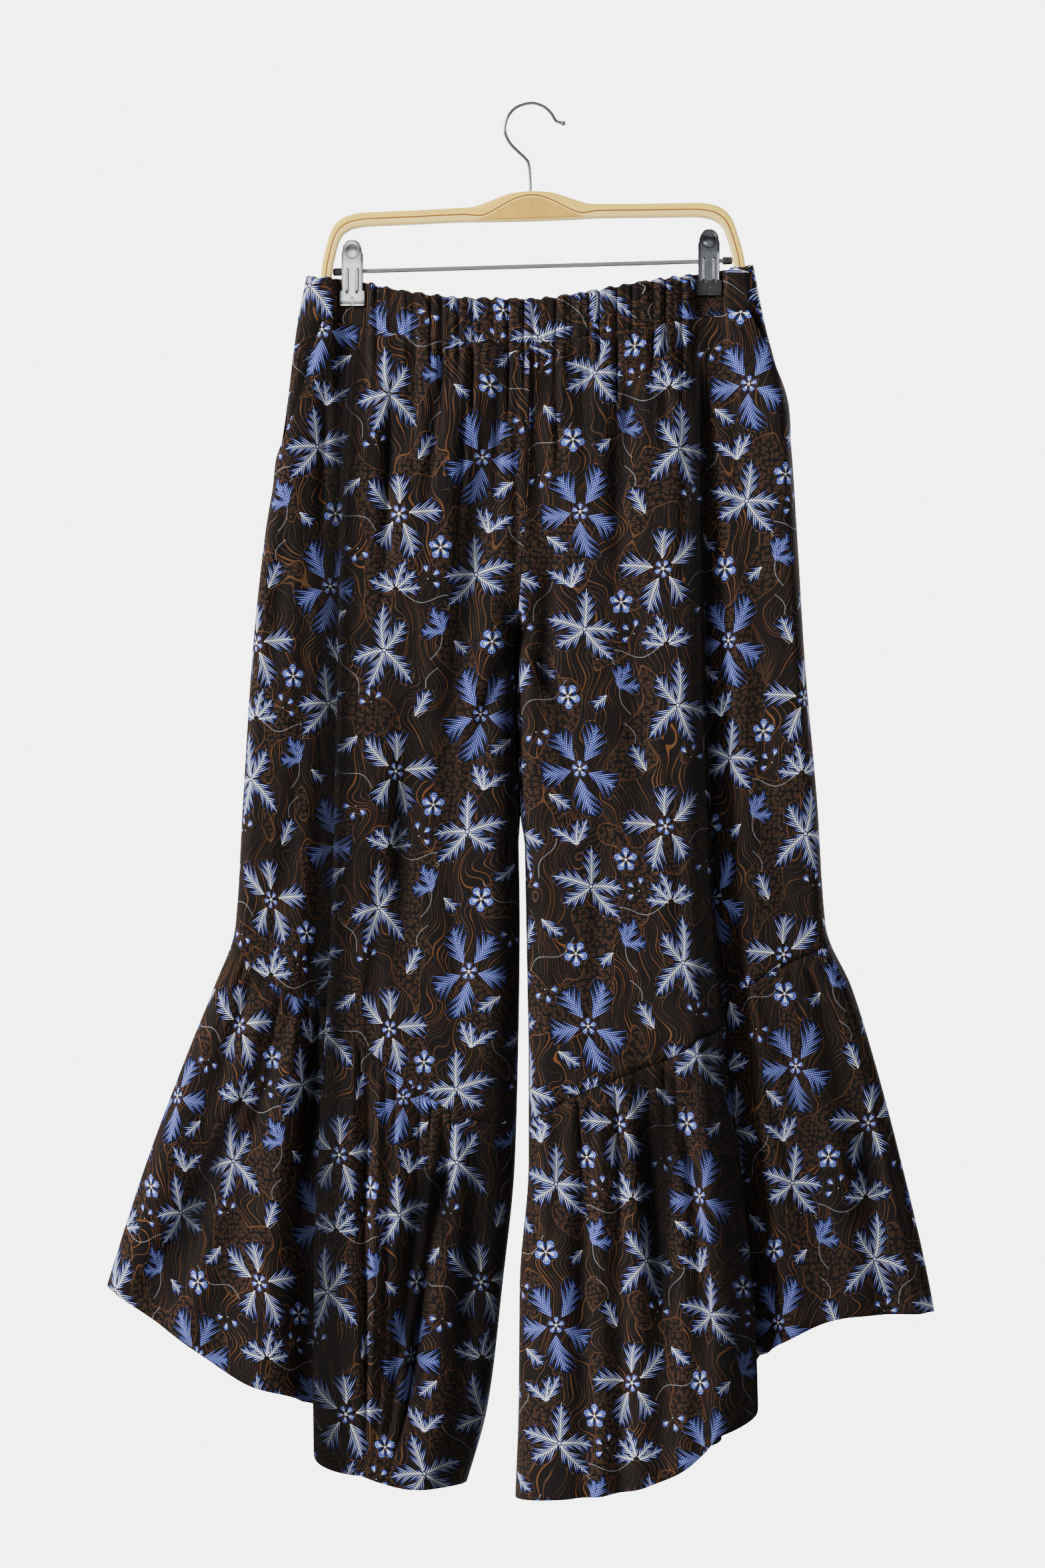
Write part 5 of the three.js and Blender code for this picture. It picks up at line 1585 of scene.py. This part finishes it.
def add_plate(title, points, sign, material, node=None):
    uv = points[..., [0, 2]]
    thing = grid_mesh(title, points, uv, not faces_out(points, sign))
    slopes = [np.gradient(points[..., 1], axis=axis)
              / np.maximum(np.abs(np.gradient(points[..., across], axis=axis)), 0.05)
              for axis, across in ((0, 2), (1, 0))]
    # Painted shade and dark reflection where the pressed forms' sides are steep.
    write_painted_shade(thing, 0.9 * smooth(np.hypot(*slopes), 0.07, 0.42))
    thicken(thing, STEEL)
    thing.data.materials.append(material)
    if node:
        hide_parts(node)
    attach(thing, "root")
    return thing


# The two clips are alike; the left one's chrome paints a bright reflection, the right one's a dark
# reflection.
for name, material in (("left", PAINTED_BRIGHT_CHROME), ("right", PAINTED_DARK_CHROME)):
    clip_x, clip_top = CLIPS[name]
    for face, sign in FACES.items():
        add_plate(f"plate_{name}_{face}", clip_plate(name, sign), sign, material,
                  f"clip_{name}_{face}")
    height = FRAME_ORIGIN[1] + ROD_HEIGHT + (clip_x - FRAME_ORIGIN[0]) * math.tan(TILT)
    barrel = [(-7.5, 2.4), (-7.5, 3.2), (-7.1, 3.4)]
    barrel += [(a, 3.4 + 0.25 * math.sin(a * 4.0)) for a in np.linspace(-6.6, 6.6, 61)]
    barrel += [(7.1, 3.4), (7.5, 3.2), (7.5, 2.4)]
    spring = turned(f"spring_{name}", barrel, (clip_x, 0, height), TILT, PAINTED_DARK_CHROME, sides=20)
    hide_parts(f"clip_{name}_barrel")
# A thin black sheet just over the right clip's jaw, a little out from its plates.
for face, sign in FACES.items():
    cover = clip_plate("right", sign, first=45.2, lift=0.35, wide=1.01)
    add_plate(f"black_jaw_sheet_{face}", cover, sign, RUBBER)

# %% [markdown]
# ## Floor and light
# A plain pale floor well below the hems, a pale world behind, and soft studio lamps: a
# large one from the upper left as in the picture, with weak ones filling the sides.

# %% Floor and light
bpy.ops.mesh.primitive_circle_add(vertices=96, radius=2.0, fill_type="NGON", location=(0, 0, -1.95))
floor = bpy.context.object
floor.name = "floor"
PALE_FLOOR, _, _ = finish("pale floor", Base_Color=(0.82, 0.82, 0.81, 1), Roughness=0.9)
floor.data.materials.append(PALE_FLOOR)

WHITE_SKY = (1.0, 1.0, 0.995, 1)
FRONT_SKY = (0.36, 0.37, 0.39, 1)
FRONT_STRENGTH = 0.92
BACK_STRENGTH = 1.7
BACKDROP_STRENGTH = 5.6            # where the camera sees the sky itself
world = bpy.data.worlds.new("studio")
world.use_nodes = True
draw = Drawing(world.node_tree)
direction = Amount(draw, draw.node("ShaderNodeTexCoord").outputs["Object"])
share = draw.ramp(draw.split(direction)[1], -0.2, 0.9)
seen = Amount(draw, draw.node("ShaderNodeLightPath").outputs["Is Camera Ray"])
lighting = draw.colour(share, FRONT_SKY, WHITE_SKY)
strength = draw.choose(share, FRONT_STRENGTH, BACK_STRENGTH)
sky = world.node_tree.nodes["Background"].inputs
hand_over(draw, sky, Color=draw.colour(seen, lighting, WHITE_SKY),
          Strength=draw.choose(seen, strength, BACKDROP_STRENGTH))
bpy.context.scene.world = world


def softbox(name, place, size, power):
    """An oblong lamp that shines at the trousers' middle."""
    lamp = bpy.data.lights.new(name, "AREA")
    lamp.shape = "RECTANGLE"
    lamp.size, lamp.size_y = size
    lamp.energy = power
    thing = add_object(name, lamp)
    thing.location = place
    direction = Vector((0, 0, -0.6)) - Vector(place)
    thing.rotation_euler = direction.to_track_quat("-Z", "Y").to_euler()


softbox("key", (-3.3, -1.9, 1.1), (1.0, 1.6), 405)
softbox("fill", (2.6, -3.4, 0.2), (1.6, 1.6), 31)
softbox("back", (2.6, 2.6, 1.0), (1.6, 1.6), 135)
